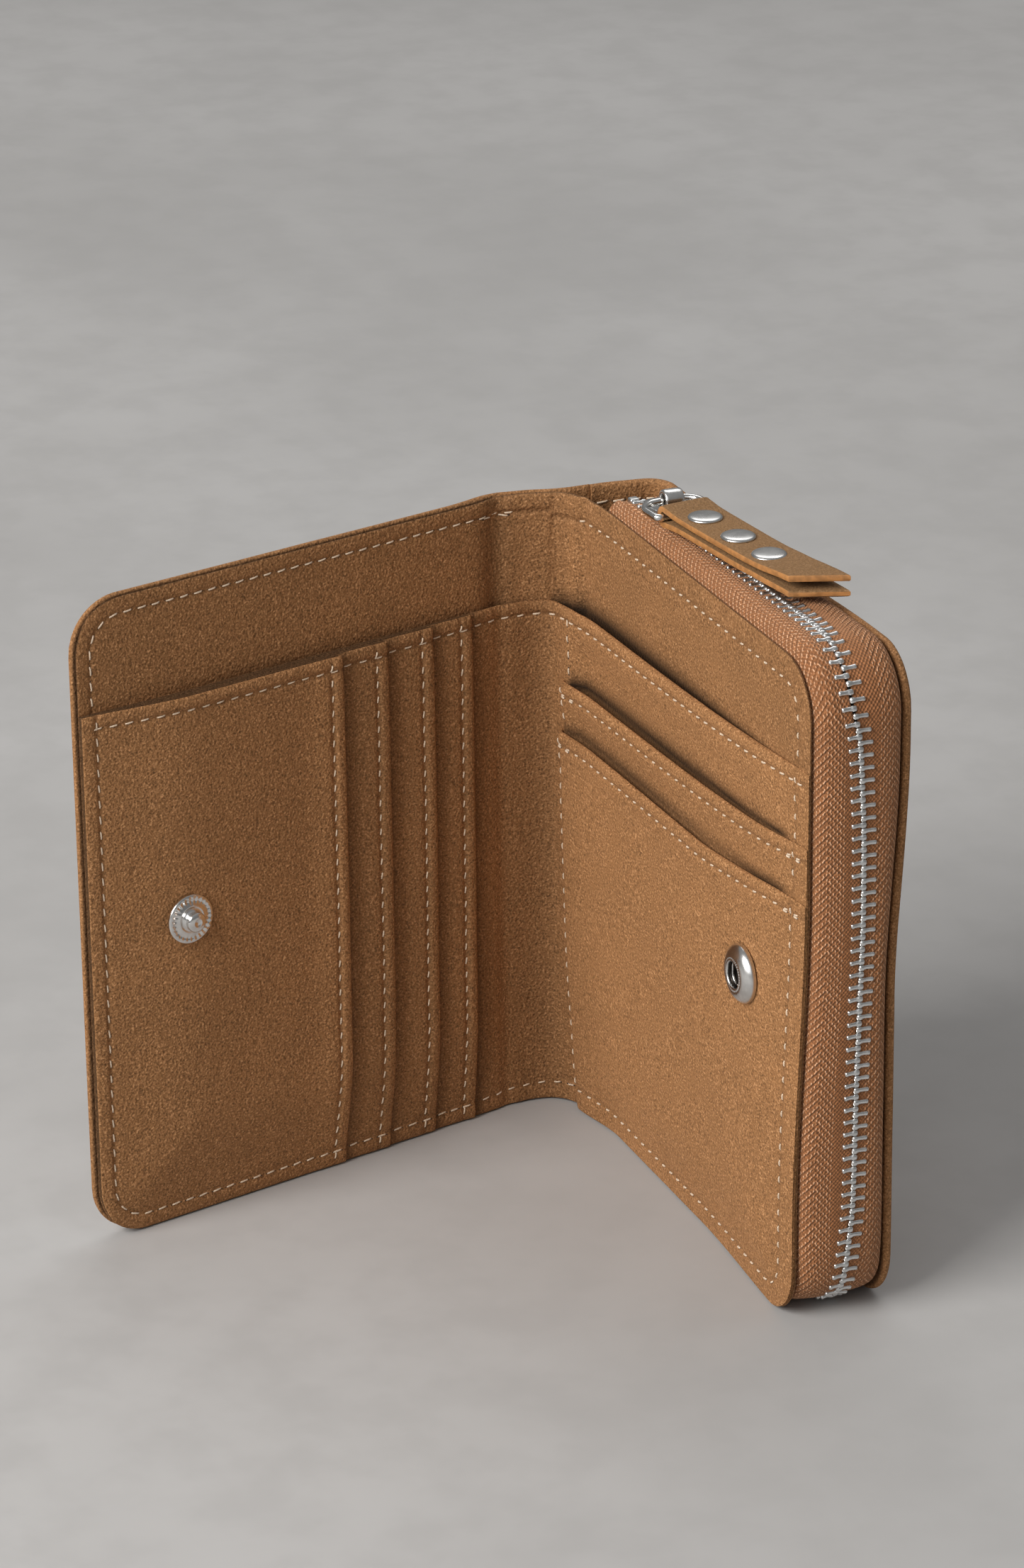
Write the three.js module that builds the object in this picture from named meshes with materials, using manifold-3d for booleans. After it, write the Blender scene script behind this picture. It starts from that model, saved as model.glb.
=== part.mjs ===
// Leather wristlet wallet with a zip coin section, standing open on its bottom edges.
// Millimetres, +Z up. The origin is on the floor at the centre of the standing wallet's bounding
// box, +X runs along the coin section from the fold to its free edge, +Y from its pocket side to
// its rear cover. The pieces are laid out from the vertical fold axis, which stands at FOLD_AXIS.
import * as THREE from 'three';
import { mergeVertices } from 'three/addons/utils/BufferGeometryUtils.js';
import Module from 'manifold-3d';

const wasm = await Module();
wasm.setup();
const { degToRad, smoothstep } = THREE.MathUtils;

// ---- driving dimensions ----------------------------------------------------------------------
const FOLD_AXIS = [-43.34, 33.32];
const HEIGHT = 110; // height of both leaves
const EDGE = 88.8; // fold axis to the free edge of a leaf
const CORNER_R = 9; // rounded corners at the free edges
const OPEN_DEG = 76.25; // angle between the leaves

// leather layers
const FACE_Y = 5.2; // pocket side face of the coin section's leaf
const FRONT_T = 3.3; // fold axis to the inner face of the front leaf
const LEAF_X = 5.0; // where the coin section's flat leaf starts
const STIFF_X = 9.0; // where the stiff part of the front leaf starts
const PANEL = 0.8; // inner panel leather
const LAYER = 0.5; // pocket leather
const LAYER_PITCH = LAYER + 0.15; // pocket leather and the gap to the next layer
const FOLD_COVER = 1.4; // cover leather at the fold
const FOLD_PANEL = 0.7; // inner panel leather at the fold

// covers and what lies inside them
const COVER = 1.6; // outer cover leather
const RIM = 0.7; // thickness of the turned edge
const RIM_W = 8; // width of the turned edge
const FRONT_OUT = 6.7; // fold axis to the outer face of the front cover
const REAR_OUT = 21.2; // outer face of the rear cover
const REAR_HINGE = [4.0, 16.2]; // centre the rear corner is bent about
const REAR_CORNER_R = REAR_OUT - REAR_HINGE[1]; // outer radius of that corner
const BOARD_T = 0.45;
const BOARD_GAP = 0.6; // board to the turned edge
const LINING_T = 0.3;
const LINING_INSET = 3; // lining to the top and bottom edges

// pockets
const POCKET_Z0 = 0.3; // bottom of every pocket layer
const BILL_Z = 91.5; // bill pocket edge
const CARD_UP_Z = 78.5; // upper card slot lip, coin section
const CARD_LOW_Z = 70.5; // lower card slot lip, coin section
const SLOT_X = [40.8, 31.6, 22.2, 14.0]; // upright card slot lips, front leaf, top layer first

// snap
const SNAP_X = 71.3;
const SNAP_Z = 53.8;
const SNAP_GAP = 0.1; // each half stands clear of its top pocket

// zipper
const RIDGE_Y = 12.2; // middle of the zipper
const ZIP_X0 = 10.5; // spine end of the zipper tape
const CHAIN_OUT = 1.6; // chain outside the leaf outline where it stands proud
const CHAIN_FLAT = -1.3; // the same along the bottom, where it is sunk
const FLAT_LEAD = 6; // length of the free edge over which the gusset starts to sink
const SPREAD = 1.6; // each half moves aside ahead of the slider
const SPREAD_X1 = 23.6; // where the halves start to part
const SPREAD_L = 3.2; // length over which they part
const TEETH_X0 = 14.6; // spine end of the teeth
const TEETH_PITCH = 2.07;
const TEETH_T = 1.3;
const TOOTH_L = 0.95; // tooth length along the chain
const TOOTH_Y = [2.0, 0.75, -0.5]; // cord base, tooth root and tooth tip from the ridge
const TEETH_END_GAP = 5.2; // the row's last pitch ends at least this far from the path's end
const STOP_T = 1.5;
const STOP_REACH = 2.0; // outer side of a stop from the middle of its chain

// slider and pull tab
const SLIDER_X0 = 17.5; // spine end of the slider
const BAIL = [22.6, 12.15, 114.65]; // bail hole centre
const BAR = [28.9, 11.75, 114.5]; // ring bar centre
const YAW_DEG = 6.4; // pull tab against the zipper line
const TAB_W = 8.4;
const TAB_NEAR = 38.1; // ring bar to the slanted end, on the -Y side
const TAB_FAR = 42.6; // the same on the +Y side
const TAB_INNER = 0.7 / 2; // middle of the tab to the inner face of a layer
const TAB_OUTER = TAB_INNER + 1.1; // middle of the tab to the outer face of a layer
const RIVET_U = [6.9, 17.0, 26.3]; // rivets from the ring bar
const RIVET_V = -0.5; // rivets off the tab's centre line

// ---- solid helpers ---------------------------------------------------------------------------
function toManifold(geometry) {
  const bare = geometry.index ? geometry.toNonIndexed() : geometry.clone();
  for (const key of Object.keys(bare.attributes)) {
    if (key !== 'position') bare.deleteAttribute(key);
  }
  const merged = mergeVertices(bare, 1e-4);
  const mesh = new wasm.Mesh({
    numProp: 3,
    vertProperties: new Float32Array(merged.attributes.position.array),
    triVerts: new Uint32Array(merged.index.array),
  });
  return new wasm.Manifold(mesh);
}

function fromManifold(solid) {
  const mesh = solid.getMesh();
  const geometry = new THREE.BufferGeometry();
  const positions = new Float32Array(mesh.vertProperties);
  geometry.setAttribute('position', new THREE.BufferAttribute(positions, 3));
  geometry.setIndex(new THREE.BufferAttribute(new Uint32Array(mesh.triVerts), 1));
  geometry.computeVertexNormals();
  return geometry;
}

// closes the seams and poles of a geometry
const weld = (geometry) => fromManifold(toManifold(geometry));

function join(first, ...others) {
  return fromManifold(others.reduce((sum, g) => sum.add(toManifold(g)), toManifold(first)));
}

function cut(body, ...tools) {
  return fromManifold(tools.reduce((rest, g) => rest.subtract(toManifold(g)), toManifold(body)));
}

function common(a, b) {
  return fromManifold(toManifold(a).intersect(toManifold(b)));
}

// ---- shape helpers ---------------------------------------------------------------------------
const toVectors = (points) => points.map(([x, y]) => new THREE.Vector2(x, y));
const polygon = (points) => new THREE.Shape(toVectors(points));
const span = (a, b) => [Math.min(a, b), Math.max(a, b)];

function box([x0, x1], [y0, y1], [z0, z1]) {
  const geometry = new THREE.BoxGeometry(x1 - x0, y1 - y0, z1 - z0);
  return geometry.translate((x0 + x1) / 2, (y0 + y1) / 2, (z0 + z1) / 2);
}

// a plan outline raised from z0 to z1
function prism(points, z0, z1) {
  const options = { depth: z1 - z0, bevelEnabled: false };
  return new THREE.ExtrudeGeometry(polygon(points), options).translate(0, 0, z0);
}

// an outline in the XZ plane given thickness along Y
function slab(shape, [y0, y1], curveSegments = 6) {
  const options = { depth: y1 - y0, bevelEnabled: false, curveSegments };
  const geometry = new THREE.ExtrudeGeometry(shape, options);
  geometry.rotateX(Math.PI / 2); // shape y becomes z, depth runs towards -y
  return geometry.translate(0, y1, 0);
}

// a turned solid about the Y axis, from [radius, y] points
function lathe(profile, segments) {
  return new THREE.LatheGeometry(toVectors(profile), segments);
}

function arcPoints([cx, cy], radius, from, to, steps) {
  const points = [];
  for (let i = 0; i <= steps; i++) {
    const angle = from + ((to - from) * i) / steps;
    points.push([cx + radius * Math.cos(angle), cy + radius * Math.sin(angle)]);
  }
  return points;
}

function direction([x0, y0], [x1, y1]) {
  return new THREE.Vector2(x1 - x0, y1 - y0).normalize();
}

// closed outline of an open line given a thickness
function thicken(line, thickness) {
  const half = thickness / 2;
  const right = [];
  const left = [];
  line.forEach(([x, y], i) => {
    const along = direction(line[Math.max(0, i - 1)], line[Math.min(line.length - 1, i + 1)]);
    right.push([x + along.y * half, y - along.x * half]);
    left.push([x - along.y * half, y + along.x * half]);
  });
  return [...right, ...left.reverse()];
}

// a leaf outline in the XZ plane: square at the fold side, rounded at the free edge
function leafShape([x0, x1], [z0, z1], topRadius, bottomRadius) {
  const shape = new THREE.Shape();
  shape.moveTo(x0, z0);
  shape.lineTo(x1 - bottomRadius, z0);
  shape.absarc(x1 - bottomRadius, z0 + bottomRadius, bottomRadius, -Math.PI / 2, 0, false);
  if (topRadius > 0) {
    shape.lineTo(x1, z1 - topRadius);
    shape.absarc(x1 - topRadius, z1 - topRadius, topRadius, 0, Math.PI / 2, false);
  } else {
    shape.lineTo(x1, z1);
  }
  shape.lineTo(x0, z1);
  return shape;
}

function plate({ x, y, z, topRadius = CORNER_R, bottomRadius = CORNER_R }) {
  return slab(leafShape(x, z, topRadius, bottomRadius), y);
}

// mesh from flat lists, turned right side out
function closedMesh(positions, indices) {
  const corner = (i) => new THREE.Vector3().fromArray(positions, indices[i] * 3);
  let volume = 0;
  for (let i = 0; i < indices.length; i += 3) {
    volume += corner(i).dot(corner(i + 1).cross(corner(i + 2)));
  }
  if (volume < 0) {
    for (let i = 0; i < indices.length; i += 3) {
      [indices[i + 1], indices[i + 2]] = [indices[i + 2], indices[i + 1]];
    }
  }
  const geometry = new THREE.BufferGeometry();
  geometry.setAttribute('position', new THREE.Float32BufferAttribute(positions, 3));
  geometry.setIndex(indices);
  return geometry;
}

// triangles over a flat ring, all wound one way, or the other way when flipped
function capTriangles(ring, flip) {
  const points = ring.map((p) => new THREE.Vector3(...p));
  const normal = new THREE.Vector3();
  points.forEach((point, i) => {
    const next = points[(i + 1) % points.length].clone().sub(points[0]);
    normal.add(point.clone().sub(points[0]).cross(next));
  });
  normal.normalize();
  const helper = Math.abs(normal.x) < 0.8 ? [1, 0, 0] : [0, 0, 1];
  const u = new THREE.Vector3(...helper).cross(normal).normalize();
  const v = new THREE.Vector3().crossVectors(normal, u);
  const flat = points.map((p) => new THREE.Vector2(p.dot(u), p.dot(v)));
  return THREE.ShapeUtils.triangulateShape(flat, []).map((triangle) => {
    const [a, b, c] = triangle;
    const counterClockwise = THREE.ShapeUtils.area(triangle.map((i) => flat[i])) > 0;
    return counterClockwise !== flip ? [a, b, c] : [a, c, b];
  });
}

// skin over rings of equally many points: a closed loop of rings, or an open run with end caps
function loft(rings, closed) {
  const size = rings[0].length;
  const count = rings.length;
  const indices = [];
  for (let i = 0; i < (closed ? count : count - 1); i++) {
    const here = i * size;
    const next = ((i + 1) % count) * size;
    for (let k = 0; k < size; k++) {
      const l = (k + 1) % size;
      indices.push(here + k, next + k, next + l, here + k, next + l, here + l);
    }
  }
  if (!closed) {
    for (const [i, flip] of [[0, false], [count - 1, true]]) {
      indices.push(...capTriangles(rings[i], flip).flat().map((k) => i * size + k));
    }
  }
  return closedMesh(rings.flat(2), indices);
}

// ---- materials -------------------------------------------------------------------------------
function matte(color, roughness) {
  return new THREE.MeshStandardMaterial({ color, roughness, metalness: 0 });
}
const leather = matte(0x9c6f42, 0.85);
const lining = matte(0x6d4526, 0.9);
const board = matte(0xb9a684, 0.95);
const tapeCloth = matte(0x9a5638, 0.9);
const silver = new THREE.MeshStandardMaterial({ color: 0xc9cbcd, roughness: 0.25, metalness: 1 });

// ---- scene -----------------------------------------------------------------------------------
const wallet = new THREE.Group();
wallet.position.set(...FOLD_AXIS, 0);

function add(parent, name, geometry, material) {
  const mesh = new THREE.Mesh(geometry, material);
  mesh.name = name;
  parent.add(mesh);
}

// ---- parts used on both leaves ---------------------------------------------------------------
// pocket layer whose lower Y face is at y0
function pocket(x0, zTop, y0) {
  return plate({ x: [x0, EDGE], y: [y0, y0 + LAYER], z: [POCKET_Z0, zTop], topRadius: 0 });
}

function liningPlate(y0) {
  return plate({
    x: [LEAF_X + 1, EDGE - 4],
    y: [y0, y0 + LINING_T],
    z: [LINING_INSET, HEIGHT - LINING_INSET],
    topRadius: 5,
    bottomRadius: 5,
  });
}

function boardPlate(x0, y0) {
  const inset = RIM_W + BOARD_GAP;
  return plate({
    x: [x0, EDGE - inset],
    y: [y0, y0 + BOARD_T],
    z: [inset, HEIGHT - inset],
    topRadius: 3,
    bottomRadius: 3,
  });
}

// cover sheet with its edge turned over along the top, the free edge and the bottom;
// inward is the Y sign from its outer face to its inner face
function cover(x0, yOuter, inward) {
  const yInner = yOuter + inward * COVER;
  const yRim = yInner + inward * RIM;
  const outline = leafShape([x0, EDGE], [0, HEIGHT], CORNER_R, CORNER_R);
  const core = box(
    [x0 - 5, EDGE - RIM_W],
    span(yInner, yRim + inward * 2),
    [RIM_W, HEIGHT - RIM_W],
  );
  const rim = cut(slab(outline, span(yInner, yRim)), core);
  return join(slab(outline, span(yOuter, yInner)), rim);
}

// ---- coin section: pocket leaf ---------------------------------------------------------------
function addPocketLeaf() {
  const panel = plate({ x: [LEAF_X, EDGE], y: [FACE_Y, FACE_Y + PANEL], z: [0, HEIGHT] });
  add(wallet, 'inner_panel_rear', weld(panel), leather);
  const pockets = [
    ['bill_pocket_rear', BILL_Z],
    ['card_pocket_upper', CARD_UP_Z],
    ['card_pocket_lower', CARD_LOW_Z],
  ];
  pockets.forEach(([name, zTop], i) => {
    add(wallet, name, pocket(LEAF_X, zTop, FACE_Y - (i + 1) * LAYER_PITCH), leather);
  });
  add(wallet, 'coin_lining_front', liningPlate(6.7), lining);
  addSnapSocket(FACE_Y - pockets.length * LAYER_PITCH - SNAP_GAP);
}

// press stud socket: ring with a recess, opening towards -Y, with its spring ring inside
function addSnapSocket(yBase) {
  const profile = [
    [0, 0], [4.75, 0], [4.75, 0.5], [4.35, 1.35], [3.5, 2.2],
    [2.7, 2.2], [2.4, 1.85], [2.4, 0.3], [0, 0.3],
  ];
  const socket = lathe(profile, 32);
  socket.rotateX(Math.PI);
  socket.translate(SNAP_X, yBase, SNAP_Z);
  add(wallet, 'snap_socket', weld(socket), silver);

  const springDepth = 1.35;
  const spring = new THREE.TorusGeometry(2.12, 0.19, 6, 28);
  spring.rotateX(Math.PI / 2);
  spring.translate(SNAP_X, yBase - springDepth, SNAP_Z);
  add(wallet, 'snap_spring', weld(spring), silver);
}

// ---- zipper path: along the top, down the free edge and back along the bottom ----------------
const RUN = EDGE - CORNER_R - ZIP_X0;
const QUARTER = (Math.PI / 2) * CORNER_R;
const SIDE = HEIGHT - 2 * CORNER_R;
const SIDE_END = RUN + QUARTER + SIDE; // path length to the start of the bottom corner
const PATH = SIDE_END + QUARTER + RUN;

// [x, z] at path length s, pushed outwards from the leaf outline
function onPath(s, out) {
  const cornerX = EDGE - CORNER_R;
  const radius = CORNER_R + out;
  if (s <= RUN) return [ZIP_X0 + s, HEIGHT + out];
  if (s <= RUN + QUARTER) {
    const angle = Math.PI / 2 - (s - RUN) / CORNER_R;
    const z = HEIGHT - CORNER_R + radius * Math.sin(angle);
    return [cornerX + radius * Math.cos(angle), z];
  }
  if (s <= SIDE_END) return [EDGE + out, HEIGHT - CORNER_R - (s - RUN - QUARTER)];
  if (s <= SIDE_END + QUARTER) {
    const angle = -(s - SIDE_END) / CORNER_R;
    return [cornerX + radius * Math.cos(angle), CORNER_R + radius * Math.sin(angle)];
  }
  return [cornerX - (s - SIDE_END - QUARTER), -out];
}

// blends from the gusset standing proud to the bottom, where the wallet stands on its leather
function sink(s, proud, flat) {
  const share = smoothstep(s, SIDE_END - FLAT_LEAD, SIDE_END + QUARTER);
  return proud * (1 - share) + flat * share;
}

// how far each half stands aside ahead of the slider
function aside(s) {
  return SPREAD * (1 - smoothstep(ZIP_X0 + s, SPREAD_X1 - SPREAD_L, SPREAD_X1));
}

// path lengths of the tape's sections, closer together where it parts and turns
function tapeStations() {
  const run = (from, length, steps) =>
    Array.from({ length: steps + 1 }, (_, i) => from + (length * i) / steps);
  return [
    0,
    8.5,
    ...run(SPREAD_X1 - SPREAD_L - ZIP_X0, SPREAD_L, 4),
    ...run(RUN, QUARTER, 6),
    SIDE_END - FLAT_LEAD,
    SIDE_END - FLAT_LEAD / 2,
    ...run(SIDE_END, QUARTER, 6),
    PATH,
  ];
}

// sign -1: half on the pocket side, +1: half on the rear cover side
function tape(sign, yFlange) {
  const reach = sign * (yFlange - RIDGE_Y);
  // [outwards where proud, outwards along the bottom, distance from the ridge, share of spread]
  const section = [
    [-6, -6, reach, 0],
    [-0.6, -1.7, reach, 0],
    [0.6, -1.6, reach - 0.75, 0.1],
    [1.3, -1.35, reach * 0.63, 0.45],
    [CHAIN_OUT, CHAIN_FLAT, 2.1, 1],
  ];
  const rings = tapeStations().map((s) => {
    const line = section.map(([proud, flat, y, share]) => [
      sink(s, proud, flat),
      y + aside(s) * share,
    ]);
    return thicken(line, 0.4).map(([out, y]) => {
      const [x, z] = onPath(s, out);
      return [x, RIDGE_Y + sign * y, z];
    });
  });
  return loft(rings, false);
}

// one row of teeth on its cord: a comb swept along the path, one cell per tooth
function teeth(sign) {
  const start = TEETH_X0 - ZIP_X0 + (sign < 0 ? 0 : TEETH_PITCH / 2);
  const count = Math.floor((PATH - TEETH_END_GAP - start) / TEETH_PITCH);
  const positions = [];
  const indices = [];
  // six points across the chain: base, root and tip on the outer face, then on the inner face
  function station(s) {
    const first = positions.length / 3;
    for (const side of [TEETH_T / 2, -TEETH_T / 2]) {
      const [x, z] = onPath(s, sink(s, CHAIN_OUT, CHAIN_FLAT) + side);
      for (const y of TOOTH_Y) positions.push(x, RIDGE_Y + sign * (y + aside(s)), z);
    }
    return first;
  }
  const quad = (a, b, c, d) => indices.push(a, b, c, a, c, d);
  // outer, inner and base faces of the cord between stations a and b
  function cord(a, b) {
    quad(a, a + 1, b + 1, b);
    quad(a + 3, b + 3, b + 4, a + 4);
    quad(a, b, b + 3, a + 3);
  }
  // outer, inner, tip and flank faces of the tooth between stations a and b
  function tooth(a, b) {
    quad(a + 1, a + 2, b + 2, b + 1);
    quad(a + 4, b + 4, b + 5, a + 5);
    quad(a + 2, a + 5, b + 5, b + 2);
    quad(a + 1, a + 4, a + 5, a + 2);
    quad(b + 1, b + 2, b + 5, b + 4);
  }
  let previous;
  for (let i = 0; i < count; i++) {
    const s = start + i * TEETH_PITCH;
    const a = station(s);
    const b = station(s + TOOTH_L);
    cord(a, b);
    tooth(a, b);
    if (i === 0) {
      quad(a, a + 3, a + 4, a + 1); // start of the cord
    } else {
      cord(previous, a);
      quad(previous + 1, previous + 4, a + 4, a + 1); // cord face between two teeth
    }
    previous = b;
  }
  quad(previous, previous + 1, previous + 4, previous + 3); // end of the cord
  return closedMesh(positions, indices);
}

// stop ahead of the first tooth of one half
function topStop(sign) {
  const middleZ = HEIGHT + CHAIN_OUT;
  return box(
    [TEETH_X0 - 1.75, TEETH_X0 - 0.15],
    span(RIDGE_Y + sign * (SPREAD + 0.35), RIDGE_Y + sign * (SPREAD + STOP_REACH)),
    [middleZ - STOP_T / 2, middleZ + STOP_T / 2],
  );
}

// bridges both halves past the last tooth of the bottom run
function bottomStop() {
  const x = ZIP_X0 + 2.3;
  const halfLength = 1.1;
  return box(
    [x - halfLength, x + halfLength],
    [RIDGE_Y - STOP_REACH, RIDGE_Y + STOP_REACH],
    [-CHAIN_FLAT - STOP_T / 2, -CHAIN_FLAT + STOP_T / 2],
  );
}

function addZipper() {
  // [half, side of the ridge, Y of the flange]
  const halves = [['front', -1, 6.35], ['rear', 1, 18.55]];
  for (const [half, sign, yFlange] of halves) {
    add(wallet, `zipper_tape_${half}`, tape(sign, yFlange), tapeCloth);
    add(wallet, `zipper_teeth_${half}`, teeth(sign), silver);
  }
  for (const [half, sign] of halves) {
    add(wallet, `zipper_top_stop_${half}`, topStop(sign), silver);
  }
  add(wallet, 'zipper_bottom_stop', bottomStop(), silver);
}

// ---- slider, bail, ring ----------------------------------------------------------------------
function slider() {
  const place = ([x, y]) => [SLIDER_X0 + x, RIDGE_Y + y];
  const symmetric = (half) =>
    [...half.map(([x, y]) => [x, -y]), ...half.toReversed()].map(place);
  // half outlines: [distance from the spine end, half width]
  const upper = [[0, 1.4], [0.8, 3.1], [3.2, 3.7], [6.9, 3.0], [7.7, 2.0]];
  const lower = [[0.3, 2.4], [3.2, 3.2], [7.3, 2.7]];
  const stem = [[0.7, 0], [1.6, -0.7], [3.4, 0], [1.6, 0.7]];
  const lips = [-1, 1].map((sign) => box(
    [SLIDER_X0 + 3.6, SLIDER_X0 + 6.5],
    span(RIDGE_Y + sign * 2.75, RIDGE_Y + sign * 3.35),
    [HEIGHT + 2.3, HEIGHT + 2.7],
  ));
  return join(
    prism(symmetric(upper), HEIGHT + 2.5, HEIGHT + 3.4),
    prism(symmetric(lower), HEIGHT - 0.4, HEIGHT + 0.6),
    prism(stem.map(place), HEIGHT + 0.3, HEIGHT + 2.7),
    ...lips,
  );
}

function bail() {
  const [x, y, z] = BAIL;
  const radius = 1.75;
  const holeRadius = 1.02;
  const footZ = 113.5;
  const footHalf = 2.1;
  const halfWidth = 1.9;
  const shape = new THREE.Shape();
  shape.moveTo(x - footHalf, footZ);
  shape.lineTo(x + footHalf, footZ);
  shape.lineTo(x + radius, z);
  shape.absarc(x, z, radius, 0, Math.PI, false);
  shape.closePath();
  const hole = new THREE.Path();
  hole.absarc(x, z, holeRadius, 0, 2 * Math.PI, true);
  shape.holes.push(hole);
  return weld(slab(shape, [y - halfWidth, y + halfWidth], 12));
}

// D shaped wire ring: straight bar through the tab frame's origin, flat apex through the bail
function pullRing() {
  const apex = -Math.hypot(BAR[0] - BAIL[0], BAR[1] - BAIL[1]);
  const half = 5.1; // half length of the bar
  const barR = 0.8; // bend at the bar
  const apexR = 3.1; // bend at the apex
  const wireR = 0.6;
  const quarter = Math.PI / 2;
  const path = [
    ...arcPoints([-barR, -half + barR], barR, 0, -quarter, 4),
    ...arcPoints([apex + apexR, -half + apexR], apexR, -quarter, -Math.PI, 6),
    ...arcPoints([apex + apexR, half - apexR], apexR, Math.PI, quarter, 6),
    ...arcPoints([-barR, half - barR], barR, quarter, 0, 4),
  ];
  const wire = arcPoints([0, 0], wireR, 0, 2 * Math.PI, 10).slice(0, -1);
  const rings = path.map(([x, y], i) => {
    const before = path[(i + path.length - 1) % path.length];
    const along = direction(before, path[(i + 1) % path.length]);
    return wire.map(([side, up]) => [x + along.y * side, y - along.x * side, up]);
  });
  // the apex end sits at the bail hole's height, the bar end at the tab's
  return loft(rings, true).rotateY(Math.atan2(BAIL[2] - BAR[2], -apex));
}

// ---- leather pull tab: one strip folded round the bar, riveted three times --------------------
function pullTab() {
  const end = TAB_FAR + 1;
  const outerX = 3.4; // where the outer faces run into the loop
  const innerX = 2.4; // where the inner faces run into the loop
  const fold = [
    [end, TAB_OUTER],
    [outerX, TAB_OUTER],
    ...arcPoints([0, 0], 1.85, Math.PI * 0.36, Math.PI * 1.64, 14),
    [outerX, -TAB_OUTER],
    [end, -TAB_OUTER],
    [end, -TAB_INNER],
    [innerX, -TAB_INNER],
    ...arcPoints([0, 0], 0.78, Math.PI * 1.78, Math.PI * 0.22, 12),
    [innerX, TAB_INNER],
    [end, TAB_INNER],
  ];
  const half = TAB_W / 2;
  const plan = [[-3, -half], [TAB_NEAR, -half], [TAB_FAR, half], [-3, half]];
  const strip = common(slab(polygon(fold), [-half - 2, half + 2]), prism(plan, -4, 4));
  const holes = RIVET_U.map((u) => {
    const hole = new THREE.CylinderGeometry(1.05, 1.05, 8, 16);
    return hole.rotateX(Math.PI / 2).translate(u, RIVET_V, 0);
  });
  return cut(strip, ...holes);
}

function tabRivet(u) {
  const face = TAB_OUTER + 0.08; // underside of each head
  const profile = [
    [0, -face - 0.5], [2.2, -face - 0.5], [2.75, -face - 0.15], [2.75, -face],
    [0.95, -face], [0.95, face],
    [2.75, face], [2.75, face + 0.2], [2.1, face + 0.6], [0.9, face + 0.75], [0, face + 0.78],
  ];
  return weld(lathe(profile, 20).rotateX(Math.PI / 2).translate(u, RIVET_V, 0));
}

function addPull() {
  add(wallet, 'slider_body', slider(), silver);
  add(wallet, 'slider_bail', bail(), silver);
  const tabFrame = new THREE.Group();
  tabFrame.position.set(...BAR);
  tabFrame.rotation.z = degToRad(YAW_DEG);
  wallet.add(tabFrame);
  add(tabFrame, 'pull_ring', pullRing(), silver);
  add(tabFrame, 'pull_tab', pullTab(), leather);
  RIVET_U.forEach((u, i) => add(tabFrame, `tab_rivet_${i + 1}`, tabRivet(u), silver));
}

// ---- rear cover of the coin section ----------------------------------------------------------
// leather bent round the rear corner between two angles
function cornerBand(fromDeg, toDeg) {
  const from = degToRad(fromDeg);
  const to = degToRad(toDeg);
  const outline = [
    ...arcPoints(REAR_HINGE, REAR_CORNER_R, from, to, 6),
    ...arcPoints(REAR_HINGE, REAR_CORNER_R - COVER, to, from, 6),
  ];
  return prism(outline, 0, HEIGHT);
}

// a standing strip that follows a smooth plan line
function planStrip(line, thickness, z0, z1, samples) {
  const knots = line.map(([x, y]) => new THREE.Vector3(x, y, 0));
  const curve = new THREE.CatmullRomCurve3(knots, false, 'centripetal');
  const points = curve.getPoints(samples).map(({ x, y }) => [x, y]);
  return prism(thicken(points, thickness), z0, z1);
}

function addRearCover() {
  const [hingeX, hingeY] = REAR_HINGE;
  const sheet = join(cover(hingeX, REAR_OUT, -1), cornerBand(90, 138));
  add(wallet, 'cover_rear', sheet, leather);
  add(wallet, 'board_rear', boardPlate(LEAF_X + 2, 19.0), board);
  add(wallet, 'coin_lining_rear', liningPlate(17.9), lining);
  // the leather round the rear corner, and the spine wall it runs into
  add(wallet, 'cover_rear_corner', cornerBand(140.5, 178), leather);
  const spine = [
    [hingeX - REAR_CORNER_R + COVER / 2, hingeY - 0.2], [-0.75, 12.0], [-1.1, 8.0], [-1.1, 4.2],
  ];
  add(wallet, 'cover_spine', planStrip(spine, COVER, 0, HEIGHT, 8), leather);
}

// ---- fold leather between the two leaves, as [x, y] plan lines -------------------------------
function addFold() {
  const coverLine = [[-3.35, -9.9], [-3.15, -6.0], [-2.6, -2.5], [-1.75, 1.2], [-1.25, 3.7]];
  const panelLine = [
    [-1.3, -9.2], [-1.35, -6.0], [-1.0, -2.6], [0.0, 0.9], [1.15, 3.1], [2.9, 4.9], [4.7, 5.55],
  ];
  const billLine = [
    [-0.45, -9.1], [-0.5, -6.0], [-0.15, -2.9], [0.85, 0.4], [1.95, 2.3], [3.4, 3.9],
    [4.75, 4.6],
  ];
  add(wallet, 'cover_fold', planStrip(coverLine, FOLD_COVER, 0, HEIGHT, 10), leather);
  add(wallet, 'inner_panel_fold', planStrip(panelLine, FOLD_PANEL, 0, HEIGHT, 14), leather);
  add(wallet, 'bill_pocket_fold', planStrip(billLine, LAYER, POCKET_Z0, BILL_Z, 14), leather);
}

// ---- front leaf, turned about the fold axis --------------------------------------------------
function snapStud(yBase) {
  const profile = [
    [0, 0], [4.1, 0], [4.1, 0.5], [3.75, 0.5], [3.5, 0.3], [1.9, 0.35],
    [1.5, 0.8], [1.45, 1.2], [1.75, 1.55], [1.75, 1.9], [1.35, 2.3], [0, 2.4],
  ];
  return weld(lathe(profile, 28).translate(SNAP_X, yBase, SNAP_Z));
}

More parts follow.
